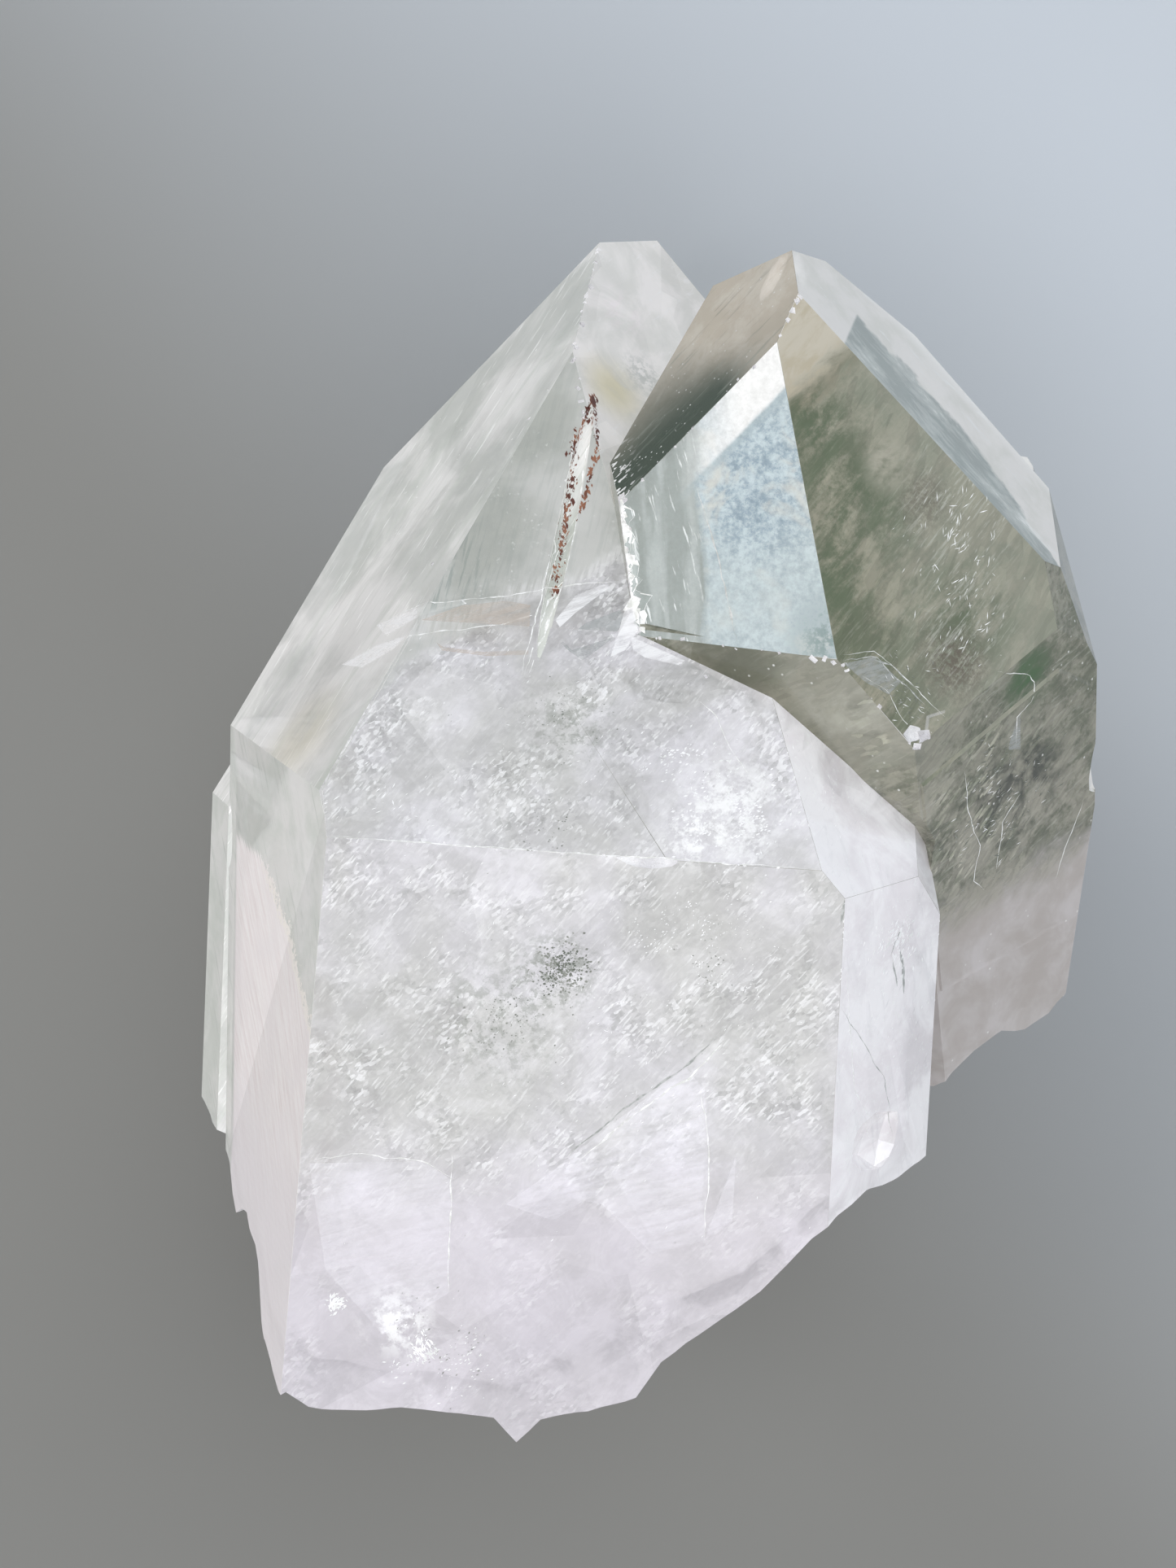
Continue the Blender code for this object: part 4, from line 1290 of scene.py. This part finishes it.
class QUARTZ_OT_milk(bpy.types.Operator):
    """The milky core of the left crystal"""
    bl_idname = "quartz.milk"
    bl_label = "Milk"

    def execute(self, context):
        look = context.scene.quartz_milk
        block = crystal_block({**LEFT_SIDES, **LOWER_TOP}, LEFT_FRAME, look.depth, MILK_CUTS + BREAK_CUTS)
        skin = remeshed(block, look.grain)
        for vert in skin.verts:
            vert.co += vert.normal * (MILK_SWELL * lumps(vert.co, MILK_LUMP, 1) - MILK_INSET)
        keep_inside(skin.verts, look.depth * 0.6)
        finish_piece(skin, "milk_core", [core_material()], True)
        return {"FINISHED"}


class QUARTZ_OT_flakes(bpy.types.Operator):
    """Small flakes of chlorite and white specks inside the quartz"""
    bl_idname = "quartz.flakes"
    bl_label = "Flakes"

    def execute(self, context):
        look = context.scene.quartz_chlorite
        green = tuple(look.green)
        shades = {"chlorite_flakes": (green, tuple(2 * part for part in green)),
                  "white_flakes": ((0.9, 0.9, 0.9), (0.75, 0.77, 0.74))}
        flake = small_shape("flake", segments=3, radius1=1, radius2=0, depth=0.5)
        for name, share, size, centre, spread, seed in FLAKE_CLOUDS:
            count = int(look.flakes * share)
            tries = count * 3
            chance = np.random.default_rng(seed)
            places = (chance.normal(size=(tries, 3)) * FLAKE_SPREAD * np.array(spread)
                      + np.array(centre))
            turns = chance.uniform(0, 6.283, size=(tries, 3))
            sizes = chance.uniform(0.5, 1.6, size=tries) * size
            bm = bmesh.new()
            made = 0
            for place, turn, radius in zip(places, turns, sizes):
                place = Vector(place)
                if lumps(place, 6, seed) < FLAKE_GAPS or below_skin(place)[0] < FLAKE_DEPTH:
                    continue
                set_shape(bm, flake, Matrix.Translation(place) @ Euler(turn).to_matrix().to_4x4()
                          @ Matrix.Scale(radius, 4))
                made += 1
                if made == count:
                    break
            finish_piece(bm, name, [mottled(name, *shades[name], 0.5)])
        bpy.data.meshes.remove(flake)
        return {"FINISHED"}


# The floor, the lights and the camera

# Metres
FLOOR_RADIUS = 4
FLOOR_GAP = 0.0003
# Lamps: name, place in metres, size, power unless the settings give it, colour
LAMPS = [
    ("window", (0.48, 0.62, 0.97), (0.85, 0.85), None, (0.95, 0.98, 1)),
    ("top_card", (-0.62, 0.25, 0.8), (0.3, 0.45), 1.6, (1, 0.99, 0.98)),
    ("left_card", (-0.95, -0.1, 0.3), (0.5, 0.8), 4, (1, 0.965, 0.95)),
    ("front_card", (0.1, -0.9, 0.7), (0.8, 0.5), 3, (1, 0.97, 0.965)),
]
LAMPS_FACE = (0, 0, 0.04)
WORLD_COLOUR = (0.86, 0.88, 0.91, 1)
WORLD_STRENGTH = 0.55
BOUNCES = {"max_bounces": 10, "diffuse_bounces": 3, "glossy_bounces": 3, "transmission_bounces": 9}
# The camera: millimetres, with the directions to its right, up and back
SENSOR_WIDTH = 36
LENS = 76.222
CAMERA_PLACE = (49.3565, 84.3297, 410.7202)
CAMERA_RIGHT = (0.98785, 0.0341, -0.15163)
CAMERA_UP = (-0.06527, 0.97645, -0.20563)
CAMERA_BACK = (0.14105, 0.21303, 0.96682)


class QUARTZ_OT_stage(bpy.types.Operator):
    """The pale floor, the soft lights and the camera"""
    bl_idname = "quartz.stage"
    bl_label = "Stage"

    def execute(self, context):
        look = context.scene.quartz_stage
        bm = bmesh.new()
        bmesh.ops.create_circle(bm, cap_ends=True, segments=96, radius=FLOOR_RADIUS)
        bmesh.ops.translate(bm, vec=(0, 0, -FLOOR_GAP), verts=bm.verts)
        floor = new_object(bm, "floor")
        s = Shade("floor_paper")
        s.ground(tuple(look.shade), tuple(look.floor), s.along((0.7, 0.7, 0)), -45, 95)
        paper = s.shader(roughness=0.85, shine=0.2, normal=s.bump(s.noise(2), 0.02, 0.3))
        floor.data.materials.append(paper)

        world = bpy.data.worlds.new("studio")
        context.scene.world = world
        world.use_nodes = True
        sky = world.node_tree.nodes["Background"]
        sky.inputs["Color"].default_value = WORLD_COLOUR
        sky.inputs["Strength"].default_value = WORLD_STRENGTH
        for name, place, size, power, colour in LAMPS:
            self.lamp(name, place, size, look.key if power is None else power, colour)
        for name, count in BOUNCES.items():
            setattr(context.scene.cycles, name, count)

        camera = bpy.data.cameras.new("camera")
        camera.sensor_width = SENSOR_WIDTH
        camera.lens = LENS
        camera.clip_start, camera.clip_end = 0.01, 20
        held = bpy.data.objects.new("camera", camera)
        turn = Matrix((CAMERA_RIGHT, CAMERA_UP, CAMERA_BACK)).transposed().to_4x4()
        held.matrix_world = Matrix.Translation(Vector(CAMERA_PLACE) * MM) @ turn
        context.scene.collection.objects.link(held)
        context.scene.camera = held
        context.scene.view_settings.view_transform = "Standard"
        return {"FINISHED"}

    def lamp(self, name, place, size, power, colour):
        light = bpy.data.lights.new(name, "AREA")
        light.shape = "RECTANGLE"
        light.size, light.size_y = size
        light.energy = power
        light.color = colour
        thing = bpy.data.objects.new(name, light)
        thing.location = place
        thing.rotation_mode = "QUATERNION"
        thing.rotation_quaternion = (Vector(place) - Vector(LAMPS_FACE)).to_track_quat("Z", "Y")
        bpy.context.scene.collection.objects.link(thing)


class QUARTZ_PT_panel(bpy.types.Panel):
    """Lists the steps that dress the cluster"""
    bl_label = "Quartz cluster"
    bl_idname = "QUARTZ_PT_panel"
    bl_space_type = "VIEW_3D"
    bl_region_type = "UI"
    bl_category = "Quartz"

    def draw(self, context):
        for operator in OPERATORS:
            self.layout.operator(operator.bl_idname)


SETTINGS = {"quartz_surface": QuartzSurface, "quartz_milk": QuartzMilk,
            "quartz_chlorite": QuartzChlorite, "quartz_stage": QuartzStage}
OPERATORS = (QUARTZ_OT_stage, QUARTZ_OT_surface, QUARTZ_OT_marks, QUARTZ_OT_milk, QUARTZ_OT_flakes)


def register():
    for settings in SETTINGS.values():
        bpy.utils.register_class(settings)
    for name, settings in SETTINGS.items():
        setattr(bpy.types.Scene, name, bpy.props.PointerProperty(type=settings))
    for operator in OPERATORS:
        bpy.utils.register_class(operator)
    bpy.utils.register_class(QUARTZ_PT_panel)


def unregister():
    bpy.utils.unregister_class(QUARTZ_PT_panel)
    for operator in reversed(OPERATORS):
        bpy.utils.unregister_class(operator)
    for name, settings in SETTINGS.items():
        delattr(bpy.types.Scene, name)
        bpy.utils.unregister_class(settings)


def main():
    register()
    bpy.ops.quartz.stage()
    bpy.ops.quartz.surface()
    bpy.ops.quartz.marks()
    bpy.ops.quartz.milk()
    bpy.ops.quartz.flakes()


if __name__ == "__main__":
    main()
